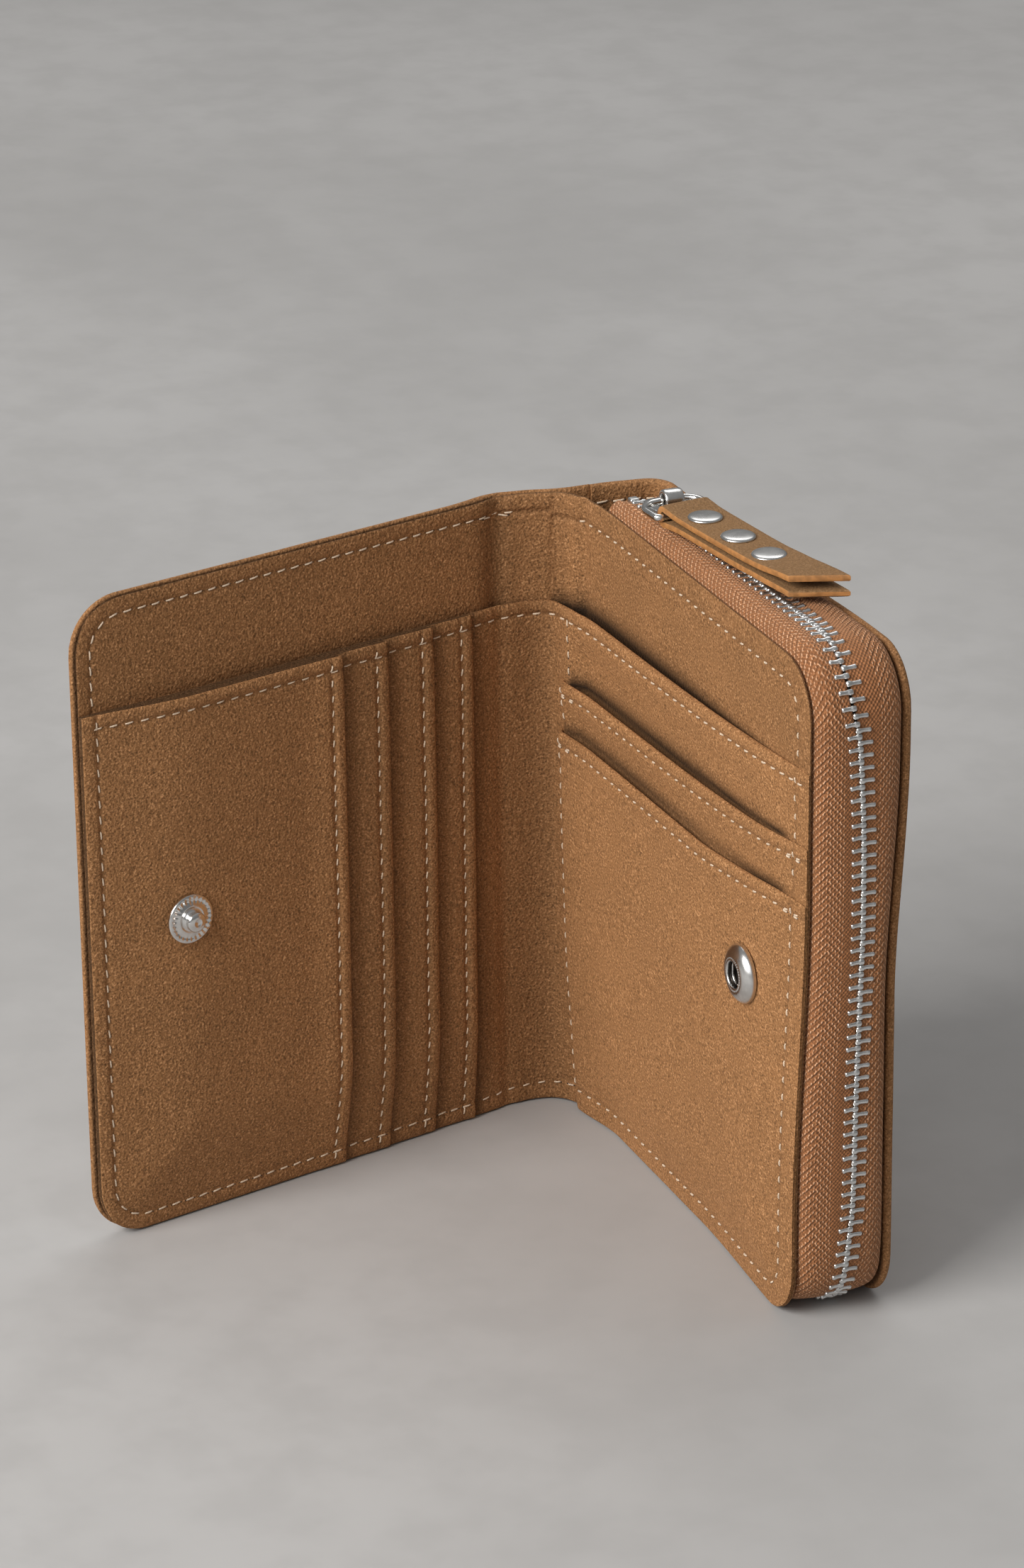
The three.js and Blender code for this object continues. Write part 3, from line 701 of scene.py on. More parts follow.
def matte(name, base, scale=900.0, detail=3.0, dark=0.8, light=1.2, rough=0.55, sheen=0.0,
          depth=0.0001):
    """Mottled between dark and light shares of the base; the defaults are edge paint."""
    n = Surface(name)
    mottle = n.noise(n.coords(), scale, detail)
    base = np.array(base)
    share = n.ease(mottle, start=0.3, end=0.7)
    return n.finish({
        "Base Color": n.mix(share, base * dark, np.minimum(1, base * light)),
        "Roughness": rough,
        "Sheen Weight": sheen,
        "Normal": n.bump(mottle, strength=0.4, distance=depth),
    })


BROWN = np.array((0.335, 0.160, 0.062))
M_PANEL = leather("nubuck_panel", BROWN)
M_POCKET = leather("nubuck_pocket", BROWN * 1.04)
M_COVER = leather("nubuck_cover", BROWN * 0.98, fleck=0.8)
M_TAB = leather("nubuck_tab", (0.29, 0.158, 0.068), fleck=0.55, grain=0.7)
M_TAB_EDGE = matte("tab_edge_paint", (0.42, 0.19, 0.06))
M_THREAD = matte("thread_cream", (0.74, 0.58, 0.42), scale=4200.0, detail=2.0, dark=0.75,
                 light=1.1, rough=0.6, sheen=0.3, depth=0.00005)
M_NEEDLE_SHADE = matte("needle_hole_painted_shade", (0.035, 0.016, 0.007))
M_TAPE = herringbone("tape_herringbone", base=(0.38, 0.150, 0.055), crest_highlight=(0.85, 0.50, 0.30))
M_LINING = fabric("lining_cloth", (0.13, 0.07, 0.035))
M_TEETH = metal("teeth_nickel", (0.80, 0.80, 0.79), rough=0.22, wear=0.12)
M_CHROME = metal("hardware_nickel", (0.78, 0.77, 0.75), rough=0.13)
M_SATIN = metal("rivet_nickel", (0.74, 0.73, 0.71), rough=0.24, wear=0.08)
M_SOCKET_SHADE = metal("socket_inside_painted_shade", (0.10, 0.085, 0.075), rough=0.35)
M_BOARD = matte("board_card", (0.45, 0.36, 0.24))


# ---- stitches --------------------------------------------------------------------------------
def stitches(name, points, normals, body, seed, pitch, length, rad, arch, slant=0.10):
    """Lockstitch along dense samples of a line: twisted threads between needle holes."""
    along = lengths_along(points)
    total = along[-1]
    count = max(1, int(round(total / pitch)))
    pitch = total / count
    rng = np.random.RandomState(seed)
    rings, sides, hole_sides = 9, 10, 8
    t = np.linspace(-1, 1, rings)
    angle = np.linspace(0, 2 * math.pi, sides, endpoint=False)
    twist = 0.90 + 0.14 * np.cos(2 * (angle - 4.8 * t[:, None]))
    radii = (rad * (1 - 0.35 * np.abs(t) ** 4))[:, None] * twist
    lift = -0.02 + arch * (1 - np.abs(t) ** 2.6) - 0.24 * np.abs(t) ** 6
    verts, quads, tris, holes = [], [], [], []

    def sample(s):
        s = np.clip(s, 0, total)
        return interp_rows(s, along, points), unit(interp_rows(s, along, normals))

    for i in range(count):
        centre = (i + 0.5) * pitch + rng.uniform(-0.05, 0.05)
        half = length * rng.uniform(0.94, 1.05) / 2
        line, normal = sample(centre + t * half)
        ends, _ = sample(np.array([centre - half, centre + half]))
        side = unit(np.cross(normal, unit(ends[1] - ends[0])))
        lean_over = t * (slant + rng.uniform(-0.03, 0.03)) * half
        core = line + normal * lift[:, None] + side * lean_over[:, None]
        thread = (
            core[:, None]
            + (np.cos(angle) * radii)[..., None] * side[:, None]
            + (np.sin(angle) * radii)[..., None] * normal[:, None]
        )
        verts.append(thread.reshape(-1, 3))
        quads.append(ring_quads(rings, sides, i * rings * sides))
        tris.append(end_fans(rings, sides, i * rings * sides))
        holes += [centre - half - 0.04, centre + half + 0.04]
    quads, tris = np.vstack(quads), np.vstack(tris)
    thread_faces = len(quads) + len(tris)

    # each needle hole is a shallow dark lens on the leather, painted shade for the depth of the
    # hole
    centres, hole_normals = sample(np.array(holes))
    ahead = sample(np.array(holes) + 0.05)[0] - centres
    angle = np.linspace(0, 2 * math.pi, hole_sides, endpoint=False)
    base = count * rings * sides
    hole_tris = []
    for centre, normal, forward in zip(centres, hole_normals, ahead):
        forward = unit(forward - normal * (forward @ normal))
        side = np.cross(normal, forward)
        oval = np.outer(np.cos(angle) * 0.26, forward) + np.outer(np.sin(angle) * 0.19, side)
        rim = centre + oval - normal * 0.02
        verts.append(np.vstack([rim, centre + normal * 0.03, centre - normal * 0.12]))
        for k in range(hole_sides):
            after = base + (k + 1) % hole_sides
            hole_tris.append((base + k, after, base + hole_sides))
            hole_tris.append((after, base + k, base + hole_sides + 1))
        base += hole_sides + 2
    index = [0] * thread_faces + [1] * len(hole_tris)
    tris = np.vstack([tris, hole_tris])
    place(build(name, np.vstack(verts), quads, tris, (M_THREAD, M_NEEDLE_SHADE), index), body)


# ---- sheets of leather -----------------------------------------------------------------------
@dataclass
class Sheet:
    """Leather with a front and a back face over a (run, z) grid.

    path(run, z) gives the plan point and the front face's normal. front, back, the painted shade
    for the front face, seam (distance to the stitching) and lip_z take (run, x, z); warp takes the
    offset as well.
    """

    path: object
    front: object
    back: object
    warp: object
    painted_shade: object
    seam: object
    bottom: float
    top: float
    top_r: float
    edge_r: float
    to_x: object = lambda run: run
    from_x: object = lambda x, run: x
    start: float = None  # x of an edge on the fold side
    ends: object = None  # distance from a cut end, by run
    lip_z: object = None
    shift: object = None  # moves (run, z) before everything but the edge rounding

    def thickness(self, run, x, z):
        distance = edge_distance(x, z, self.bottom, self.top, self.top_r, self.start)
        share = round_off(distance, self.edge_r)
        if self.ends is not None:
            share = np.minimum(share, round_off(np.maximum(0, self.ends(run)), 0.03))
        return share

    def at(self, run, z, side="front", thickness=None):
        """Final position of a point already inside the rounded corners."""
        if thickness is None:
            thickness = self.thickness(run, self.to_x(run), z)
        if self.shift is not None:
            run, z = self.shift(run, z)
        x = self.to_x(run)
        front, back = self.front(run, x, z), self.back(run, x, z)
        middle = (front + back) / 2
        offset = middle + ((front if side == "front" else back) - middle) * thickness
        offset = self.warp(offset, run, x, z)
        plan, normal = self.path(run, z)
        plan = plan + normal * offset[..., None]
        height = z if self.lip_z is None else self.lip_z(run, x, z)
        return np.stack([plan[..., 0], plan[..., 1], height], -1)

    def make(self, name, runs, heights, material, body, *parts):
        run, z = np.meshgrid(runs, heights, indexing="ij")
        x = round_corners(self.to_x(run), z, self.bottom, self.top, self.top_r)
        run = self.from_x(x, run)
        thickness = self.thickness(run, x, z)
        thickness[[0, -1]] = 0
        thickness[:, [0, -1]] = 0
        front = self.at(run, z, "front", thickness)
        back = self.at(run, z, "back", thickness)
        seam, painted_shade = self.seam(run, x, z), self.painted_shade(run, x, z)
        # the painted shade goes on the front face only
        attrs = {"seam": both_faces(seam, seam), "painted_shade": both_faces(painted_shade, 0 * painted_shade)}
        place(shell(name, front, back, run, z, material, attrs), body, "leather", *parts)

    def sew(self, name, runs, heights, body, side="front", **style):
        """Stitches along a line through (run, z) points."""
        runs, heights = np.broadcast_arrays(np.asarray(runs, float), heights)
        along = lengths_along(np.stack([runs, heights], -1))
        s = np.arange(0, along[-1], 0.25)
        run, z = np.interp(s, along, runs), np.interp(s, along, heights)
        step = 0.3
        by_run = self.at(run + step, z, side) - self.at(run - step, z, side)
        by_z = self.at(run, z + step, side) - self.at(run, z - step, side)
        normals = unit(np.cross(by_run, by_z))
        _, plan_normal = self.path(run, z)
        outward = (normals[:, :2] * plan_normal).sum(1) * (1 if side == "front" else -1)
        normals *= np.sign(outward)[:, None]
        stitches(name, self.at(run, z, side), normals, body, **style)


# how far the coin section's pockets stand off the leaf, sewn flat at the free edge and snap
GAPE_X = curve(
    [-3, -1, 1.1, 3.9, 8, 10, 14, 28, 54, 68, 78, 83],
    [0.0, 0.3, 1.45, 2.3, 2.6, 2.5, 2.3, 2.05, 1.35, 0.75, 0.2, 0.0],
)
GAPE_Z = curve([0, 10, 36, 55, 110], [0.02, 0.35, 0.85, 1.0, 1.0])
# how far each lip of the coin section rises towards the free edge
BILL_TOP = curve([-10, 5, 28, 54, 80, 88.8], [0.0, 0.1, 0.4, 0.8, 1.5, 1.8])
UP_TOP = curve([0, 4, 30, 54, 80, 88.8], [0.1, 0.1, 0.6, 1.1, 2.0, 2.6])
LOW_TOP = curve([0, 5, 30, 55, 81, 88.8], [-0.6, -0.6, -0.2, -0.3, 1.2, 1.2])


def gape(x, z):
    return GAPE_X(x) * GAPE_Z(z) * (1 - 0.85 * spot(x, z, SNAP_X, SNAP_Z, 11.0))


def mouth_shade(distance, reach):
    return np.exp(-((distance / reach) ** 1.3))


# ---- inner panel: one sheet over the front leaf, the fold and the coin section ---------------
def panel_front(run, x, z):
    mid, distance = PANEL_PLAN.mid, leaf_distance(x, z)
    height = 0.4 + unevenness(run, z, 0.06, 14, 3, 5, 4)
    on_front = run < mid
    height = height + np.where(
        on_front,
        seam_shape(distance, SEW_FRONT, roll=0.30, groove=0.22),
        seam_shape(distance, SEW_REAR, roll=0.20, groove=0.16),
    )
    # a valley on the front leaf beside the fold, then soft upright creases
    height = height - 0.85 * bell(x, 8.0, 1.9) * on_front
    creases = (  # height, run, width
        (-0.10, mid + 0.4, 0.5), (0.10, mid - 0.8, 0.8),
        (0.50, EDGE + 6.4, 1.0), (-0.45, EDGE + 8.6, 1.0),
    )
    for amount, centre, width in creases:
        height = height + amount * bell(run, centre, width) * ramp(60, 105, z)
    return height + 0.12 * vnoise(run, z * 0.16, 1.9, 8) * bell(run, mid, 7.5)


def panel_shade(run, x, z):
    """Painted shade in the mouth of the bill pocket, along the edge, in the fold and, lightly,
    over the whole coin-section side.
    """
    mid = PANEL_PLAN.mid
    rear = run > mid
    lip = BILL_Z + np.where(rear, BILL_TOP(x), 0)
    depth = np.where(rear, 1.15 * ramp(85, 80, x), 0.75 * ramp(88, 50, x))
    reach = np.where(rear, 0.75 + 1.35 * ramp(84, 35, x), 1.6)
    edge = 0.9 * bell(leaf_distance(x, z), 0, 0.10)
    bend = 0.30 * bell(run, EDGE - 8.0, 3.4) + 0.16 * bell(run, EDGE + 1.0, 7.0)
    bend = np.maximum(bend, 0.13 * ramp(mid, mid + 8, run))
    mouth = depth * mouth_shade(np.maximum(0, z - lip + 1.2), reach)
    return np.maximum(mouth, np.maximum(edge, bend))


def panel_seam(run, x, z):
    at = np.where(run < PANEL_PLAN.mid, SEW_FRONT, SEW_REAR)
    return np.abs(leaf_distance(x, z) - at)


def panel_shift(run, z):
    on_front = ramp(EDGE - 2, EDGE - 16, run + 0.0)
    return run + inset(run), z - on_front * inset(HEIGHT - z) * 0.7


panel = Sheet(
    PANEL_PLAN, panel_front, lambda run, x, z: -0.4, PANEL_PLAN.warp, panel_shade, panel_seam,
    bottom=0.15, top=HEIGHT, top_r=CORNER, edge_r=0.5,
    to_x=PANEL_PLAN.to_x, from_x=PANEL_PLAN.from_x, shift=panel_shift,
)
panel.make(
    "inner_panel",
    stations(0, PANEL_PLAN.length, 1.25, [
        (0, 0, 0.07), (SEW_FRONT, 0.7, 0.3), (PANEL_PLAN.length, 0, 0.07),
        (PANEL_PLAN.length - SEW_REAR, 0.7, 0.32), (PANEL_PLAN.mid, 9, 0.42)]),
    stations(0.15, HEIGHT, 1.4, [
        (0.15, 0, 0.08), (HEIGHT, 0, 0.08), (HEIGHT - 3.6, 1.3, 0.32), (BILL_Z + 1.5, 2.0, 0.6)]),
    M_PANEL, FOLD, "inner_panel_front", "inner_panel_fold", "inner_panel_rear",
)


# ---- bill pocket: sewn to the panel round its edges, open along the top ----------------------
def bill_open(run, x, z, dip=True):
    """How far the bill pocket stands off beside the coin section, most at its lip."""
    gap = gape(x, z)
    if dip:
        gap = gap * (1 - 0.70 * ramp(1.0, 10.5, BILL_Z - z) * ramp(3.2, 8.5, x))
    return np.where(run > BILL_PLAN.mid, gap, 0)


def bill_front(run, x, z, dip=True):
    below, rear = BILL_Z - z, run > BILL_PLAN.mid
    distance = pocket_distance(x, z, BILL_Z)
    height = 0.25 + unevenness(run, z, 0.05, 12, 13, 4, 14) + 0.231 * ramp(7.5, 4.5, below)
    height = height + seam_shape(below, LIP, roll=0.22, groove=0.18)
    height = height + np.where(
        rear,
        seam_shape(distance, SEW_REAR, roll=0.10, groove=0.14),
        seam_shape(distance, SEW_FRONT, roll=0.1, groove=0.1),
    )
    height = height + bill_open(run, x, z, dip) - 0.35 * bell(x, 8.0, 1.4) * (~rear)
    return height + 0.10 * vnoise(run, z * 0.14, 2.2, 18) * bell(run, BILL_PLAN.mid, 7.0)


def bill_back(run, x, z):
    turned_in = ramp(7.5, 4.5, BILL_Z - z) * (run > BILL_PLAN.mid) * ramp(5, 12, x)
    return -0.25 - 0.3 * turned_in + bill_open(run, x, z)


def bill_shade(run, x, z):
    """Painted shade above the upper card pocket, beside the last upright pocket and in the fold.
    """
    mouth = mouth_shade(np.abs(z - UP_Z - UP_TOP(x) + 0.5), 0.7 + 1.0 * ramp(84, 35, x))
    above = 1.15 * ramp(85, 80, x) * ramp(3, 5, x) * mouth
    beside = 0.9 * np.exp(-np.maximum(0, SLOT_X[3] - x + 0.8) / 2.4) * ramp(8, 11, x)
    fold = 0.26 * bell(run, BILL_PLAN.mid - 2.5, 9.0)
    return np.maximum(np.where(run > BILL_PLAN.mid, above, beside), fold)


def bill_seam(run, x, z):
    at = np.where(run > BILL_PLAN.mid, SEW_REAR, SEW_FRONT)
    return np.minimum(np.abs(BILL_Z - z - LIP), np.abs(pocket_distance(x, z, BILL_Z) - at))


def bill_lip(run, x, z):
    return z + BILL_TOP(x) * (run > BILL_PLAN.mid) * ramp(70, BILL_Z, z)


bill = Sheet(
    BILL_PLAN, bill_front, bill_back, BILL_PLAN.warp, bill_shade, bill_seam,
    bottom=POCKET_Z0, top=BILL_Z, top_r=0, edge_r=0.42,
    to_x=BILL_PLAN.to_x, from_x=BILL_PLAN.from_x, lip_z=bill_lip,
    shift=lambda run, z: (run + inset(run), z),
)
bill.make(
    "bill_pocket",
    stations(0, BILL_PLAN.length, 1.5, [
        (0, 0, 0.08), (SEW_REAR, 0.6, 0.4), (BILL_PLAN.length, 0, 0.08),
        (BILL_PLAN.length - SEW_REAR, 0.6, 0.4), (BILL_PLAN.mid, 11, 0.42)]),
    stations(POCKET_Z0, BILL_Z, 1.8, [
        (POCKET_Z0, 0, 0.1), (BILL_Z, 0, 0.07), (BILL_Z - LIP, 0.9, 0.28),
        (UP_Z + 2, 2.5, 0.6), (SEW_REAR, 0.5, 0.6)]),
    M_POCKET, FOLD, "bill_pocket_front", "bill_pocket_fold", "bill_pocket_rear",
)


# ---- card pockets of the front leaf: upright lips, each standing proud of the next -----------
def front_card_pocket(i):
    lip_x = SLOT_X[i]
    over_x = SLOT_X[i - 1] if i else None  # lip of the pocket on top of this one
    layer_back = -3.3 + (4 - i) * 0.65 + 0.15
    layer_front = -3.3 + (5 - i) * 0.65

    def front(run, x, z):
        from_lip, below = x - lip_x, BILL_Z - z
        free = ramp(0.5, 6.0, below) * 0.72 + 0.28  # sewn down along the top edge
        height = layer_front + unevenness(run, z, 0.05, 11, 20 + i, 3.5, 30 + i)
        height = height + 0.55 * ramp(7.6, 3.0, from_lip) * free
        height = height + seam_shape(from_lip, LIP, roll=0.26, groove=0.20) * free
        height = height + 0.10 * vnoise(z, 0 * z, 17, 40 + i) * ramp(6, 0, from_lip)
        height = height + seam_shape(below, LIP, roll=0.22, groove=0.20)
        distance = pocket_distance(x, z, BILL_Z)
        height = height + seam_shape(distance, SEW_FRONT, roll=0.5, groove=0.5)
        if i == 0:
            height = height + 0.10 * spot(x, z, 60, 45, 26.0)
            height = height - 0.22 * spot(x, z, SNAP_X, SNAP_Z, 5.2)
        return height

    # painted shade: a shadow from the lip of the pocket on top, over an even painted shade across
    # the whole strip; the first pocket gets only a faint even shade
    def shade(run, x, z):
        if i == 0:
            return 0 * x + 0.04
        return np.maximum(0.20, 0.9 * np.exp(-np.maximum(0, over_x - x + 0.8) / 2.6))

    def seam(run, x, z):
        by_lips = np.minimum(np.abs(x - lip_x - LIP), np.abs(BILL_Z - z - LIP))
        return np.minimum(by_lips, np.abs(pocket_distance(x, z, BILL_Z) - SEW_FRONT))

    sheet = Sheet(
        tucked_front, front, lambda run, x, z: layer_back + 0.12 * ramp(5, 0, x - lip_x),
        lambda offset, run, x, z: squeeze_front(offset, x, z), shade, seam,
        bottom=POCKET_Z0, top=BILL_Z, top_r=0, edge_r=0.45, start=lip_x,
    )
    fine = [(lip_x, 0, 0.07), (lip_x + LIP, 0.8, 0.28)]
    if i == 0:
        fine += [(EDGE, 0, 0.1), (EDGE - SEW_FRONT, 0.6, 0.35), (SNAP_X, 5.5, 0.8)]
        runs = stations(lip_x, EDGE, 1.3, fine)
    else:  # coarse where the next pocket covers it
        seen = stations(lip_x, over_x + 1.5, 0.8, fine)
        covered = stations(over_x + 1.5, EDGE, 3.5, [(EDGE, 0, 0.25)])
        runs = np.concatenate([seen, covered[1:]])
    heights = stations(POCKET_Z0, BILL_Z, 1.3 if i == 0 else 1.6, [
        (POCKET_Z0, 0, 0.1), (BILL_Z, 0, 0.08), (BILL_Z - LIP, 0.8, 0.3), (SEW_REAR, 0.6, 0.45)])
    name = f"card_pocket_{i + 1}"
    sheet.make(f"{name}_leather", runs, heights, M_POCKET, "front_leaf", name)
    return sheet


front_sheets = [front_card_pocket(i) for i in range(4)]


# ---- card pockets of the coin section --------------------------------------------------------
def bill_face_table():
    """Plan lines (x, y) of the bill pocket's front face beside the fold, one per height."""
    heights, lines = np.linspace(POCKET_Z0, BILL_Z, 28), []
    run = np.linspace(BILL_PLAN.mid - 1.0, BILL_PLAN.length - 40, 400)
    for height in heights:
        z = np.full_like(run, height)
        plan, normal = BILL_PLAN(run, z)
        face = plan + normal * bill_front(run, BILL_PLAN.to_x(run), z, dip=False)[:, None]
        lines.append(face[np.maximum.accumulate(face[:, 0]) <= face[:, 0] + 1e-9])
    return heights, lines


BILL_HEIGHTS, BILL_LINES = bill_face_table()


def bill_face_y(x, z):
    levels = np.stack([np.interp(x, line[:, 0], line[:, 1]) for line in BILL_LINES])
    level = (z - BILL_HEIGHTS[0]) / (BILL_HEIGHTS[1] - BILL_HEIGHTS[0])
    level = np.clip(level, 0, len(BILL_HEIGHTS) - 1 - 1e-6)
    k = level.astype(int)

    def pick(index):
        return np.take_along_axis(levels, index[None], 0)[0]

    return pick(k) * (1 - (level - k)) + pick(k + 1) * (level - k)


def rear_card_pocket(name, lip, rise_of, level):
    """level is 1 for the upper pocket and 2 for the lower one that lies over it."""

    def face(x, z):
        """Front face of this layer: never behind the layer it is sewn to."""
        gap = gape(x, z)
        near = bill_face_y(np.clip(x, X_SEWN, 40), z) + 0.08
        near = near - (0.62 * level + 0.08) * ramp(2.6, 4.6, x)
        if level == 1:
            dip = ramp(1, 8, UP_Z - z)
            near = near + 0.5 * gap * dip * ramp(3.2, 8, x)
            gap = gap * (1 - 0.5 * dip)
        flat = 5.2 - (level + 1) * 0.65 - gap
        by_fold = ramp(22, 12, x)
        return flat * (1 - by_fold) + near * by_fold

    def front(run, x, z):
        below = lip - z
        height = -face(x, z) + unevenness(run, z, 0.05, 12, 50 + level, 4, 52 + level)
        height = height + 0.30 * ramp(7.0, 3.0, below) * ramp(EDGE, 80, x)
        height = height + seam_shape(below, LIP, roll=0.18, groove=0.15)
        distance = pocket_distance(x, z, lip)
        height = height + seam_shape(distance, SEW_REAR, roll=0.14, groove=0.15)
        height = height - 0.10 * bell(x, SPINE_SEAM_X, 0.5)
        if level == 2:
            height = height - 0.22 * spot(x, z, SNAP_X, SNAP_Z, 5.6)
        return height

    def lip_z(run, x, z):
        return z + rise_of(x) * ramp(lip - 26, lip, z)

    # painted shade in the mouth above the lower pocket's lip; none on the lower pocket
    def shade(run, x, z):
        if level == 2:
            return 0 * x
        above = np.abs(lip_z(run, x, z) - LOW_Z - LOW_TOP(x) + 0.4)
        mouth = mouth_shade(above, 0.6 + 0.7 * ramp(84, 35, x))
        return 1.1 * ramp(85, 80, x) * ramp(3, 5, x) * mouth

    def seam(run, x, z):
        by_lip = np.minimum(np.abs(lip - z - LIP), np.abs(x - SPINE_SEAM_X))
        return np.minimum(by_lip, np.abs(pocket_distance(x, z, lip) - SEW_REAR))

    sheet = Sheet(
        straight_rear, front, lambda run, x, z: -face(x, z) - 0.5,
        lambda offset, run, x, z: -squeeze_rear(-offset, x, z), shade, seam,
        bottom=POCKET_Z0, top=lip, top_r=0, edge_r=0.42, start=X_SEWN, lip_z=lip_z,
    )
    fine = [(X_SEWN, 0, 0.12), (SPINE_SEAM_X, 0.6, 0.3), (EDGE, 0, 0.08),
            (EDGE - SEW_REAR, 0.7, 0.35)]
    if level == 2:
        fine.append((SNAP_X, 5.5, 0.8))
    heights = stations(POCKET_Z0, lip, 1.4 if level == 2 else 2.0, [
        (POCKET_Z0, 0, 0.1), (lip, 0, 0.07), (lip - LIP, 0.9, 0.28), (SEW_REAR, 0.6, 0.45)])
    runs = stations(X_SEWN, EDGE, 1.3, fine)
    sheet.make(f"{name}_leather", runs, heights, M_POCKET, "coin_section", name)
    return sheet


upper = rear_card_pocket("card_pocket_upper", UP_Z, UP_TOP, level=1)
lower = rear_card_pocket("card_pocket_lower", LOW_Z, LOW_TOP, level=2)


# ---- cover: front, fold and spine wall -------------------------------------------------------
def cover_seam(run, x, z):
    return np.abs(leaf_distance(x, z) - SEW_FRONT)


def cover_front_inner(run, x, z):
    turned = ramp(8.0, 6.6, leaf_distance(x, z)) * 0.6
    padding = (turned + 0.05 * vnoise(run, z, 5, 61)) * (1 - ramp(10, 6, x) * 0.75)
    return 0.6 - ramp(12, 7, x) * 0.35 + padding


def cover_front_outer(run, x, z):
    height = 1.0 + unevenness(run, z, 0.07, 15, 62, 5, 63)
    height = height + seam_shape(leaf_distance(x, z), SEW_FRONT, roll=0.12, groove=0.2)
    height = height - ramp(12, 7, x) * 0.35
    return -(height + 0.10 * vnoise(run, z * 0.15, 2.2, 64) * bell(x, 3, 7))


def cover_front_warp(offset, run, x, z):
    return np.where(x > 5, squeeze_front(offset - 5.7, x, z) + 5.7, offset)


cover_heights = stations(0, HEIGHT, 1.8, [
    (0, 0, 0.1), (HEIGHT, 0, 0.08), (HEIGHT - SEW_FRONT, 0.7, 0.35), (SEW_FRONT, 0.7, 0.35)])
cover_front = Sheet(
    COVER_FRONT_PLAN, cover_front_inner, cover_front_outer, cover_front_warp,
    # painted shade on the inner face, which lies between layers, left off at the outer edge and by
    # the fold
    lambda run, x, z: 0.85 * ramp(0.12, 0.5, leaf_distance(x, z)) * ramp(6, 9, x), cover_seam,
    bottom=0, top=HEIGHT, top_r=CORNER, edge_r=0.8,
    to_x=lambda run: EDGE - run, from_x=lambda x, run: EDGE - x,
    ends=lambda run: COVER_FRONT_PLAN.length - run,
)
cover_front.make(
    "cover_front_leather",
    stations(0, COVER_FRONT_PLAN.length, 1.5, [
        (0, 0, 0.08), (SEW_FRONT, 0.7, 0.35), (EDGE - 4, 12, 0.6),
        (COVER_FRONT_PLAN.length, 0, 0.03)]),
    cover_heights, M_COVER, FOLD, "cover_front", "cover_fold", "cover_spine",
)


# ---- cover: rear corner and rear face --------------------------------------------------------
def cover_rear_inner(run, x, z):
    turned = 0.5 * ramp(8.0, 6.6, leaf_distance(x, z)) * (1 - ramp(6, 2, x) * 0.5)
    return 0.8 - 0.2 * ramp(8, 0, run) + turned


def cover_rear_outer(run, x, z):
    height = 0.8 - 0.15 * ramp(8, 0, run) + unevenness(run, z, 0.08, 15, 72, 5, 73)
    return -(height + seam_shape(leaf_distance(x, z), SEW_FRONT, roll=0.12, groove=0.2))


def cover_rear_warp(offset, run, x, z):
    squeezed = 20.4 - squeeze_back(20.4 - offset, x, z) - belly(x, z)
    return np.where(x > 5, squeezed, offset)


cover_rear = Sheet(
    COVER_REAR_PLAN, cover_rear_inner, cover_rear_outer, cover_rear_warp,
    # painted shade on the inner face, which lies between layers, left off at the outer edge and by
    # the corner
    lambda run, x, z: 0.85 * ramp(0.25, 0.8, leaf_distance(x, z)) * ramp(14, 20, x), cover_seam,
    bottom=0, top=HEIGHT, top_r=CORNER, edge_r=0.8,
    to_x=COVER_REAR_PLAN.rear_x, from_x=lambda x, run: COVER_REAR_PLAN.rear_run(x),
    ends=lambda run: run,
)
cover_rear.make(
    "cover_rear_leather",
    stations(0, COVER_REAR_PLAN.length, 1.5, [
        (0, 0, 0.03), (16, 7, 0.6), (COVER_REAR_PLAN.length, 0, 0.08),
        (COVER_REAR_PLAN.length - SEW_FRONT, 0.7, 0.35)]),
    cover_heights, M_COVER, SPINE_CORNER, "cover_rear", "cover_rear_corner",
)


# ---- stiffener boards and linings ------------------------------------------------------------
def inner_sheet(part, suffix, path, body, start, low, seed=0, *,
                end, margin_z, thick, material, slot, radius, step, wave):
    """A thin sheet rounded at all four corners, its lower face `low` off the path."""
    run, z = np.meshgrid(
        stations(start, end, step, [(start, 0, 0.1), (end, 0, 0.1)]),
        stations(margin_z, HEIGHT - margin_z, step,
                 [(margin_z, 0, 0.1), (HEIGHT - margin_z, 0, 0.1)]),
        indexing="ij",
    )
    inside = np.minimum(
        np.minimum(run - start, end - run), np.minimum(z - margin_z, HEIGHT - margin_z - z)
    )
    # pull the square corners in
    centre_x, centre_z = (start + end) / 2, HEIGHT / 2
    flat_x, flat_z = (end - start) / 2 - radius, HEIGHT / 2 - margin_z - radius
    over_x, over_z = np.abs(run - centre_x) - flat_x, np.abs(z - centre_z) - flat_z
    corner = (over_x > 0) & (over_z > 0)
    pull = np.maximum(over_x, over_z) / np.maximum(np.hypot(over_x, over_z), 1e-9)
    x = np.where(corner, centre_x + np.sign(run - centre_x) * (flat_x + over_x * pull), run)
    z = np.where(corner, centre_z + np.sign(z - centre_z) * (flat_z + over_z * pull), z)
    share = round_off(inside, thick / 2)
    share[[0, -1]] = 0
    share[:, [0, -1]] = 0
    ripple = vnoise(x, z * 0.35, 6, 90 + seed) + 0.5 * vnoise(x, z, 9, 91 + seed)
    middle = low + thick / 2 + wave * ripple * ramp(0, 8, inside)
    if body == "rear_shell":
        middle = middle - belly(x, z)
    plan, normal = path(x, z)
    faces = []
    for sign in (1, -1):
        points = plan + normal * (middle + sign * thick / 2 * share)[..., None]
        faces.append(np.concatenate([points, z[..., None]], -1))
    place(shell(f"{part}_{suffix}", *faces, x, z, material), body, slot, part)


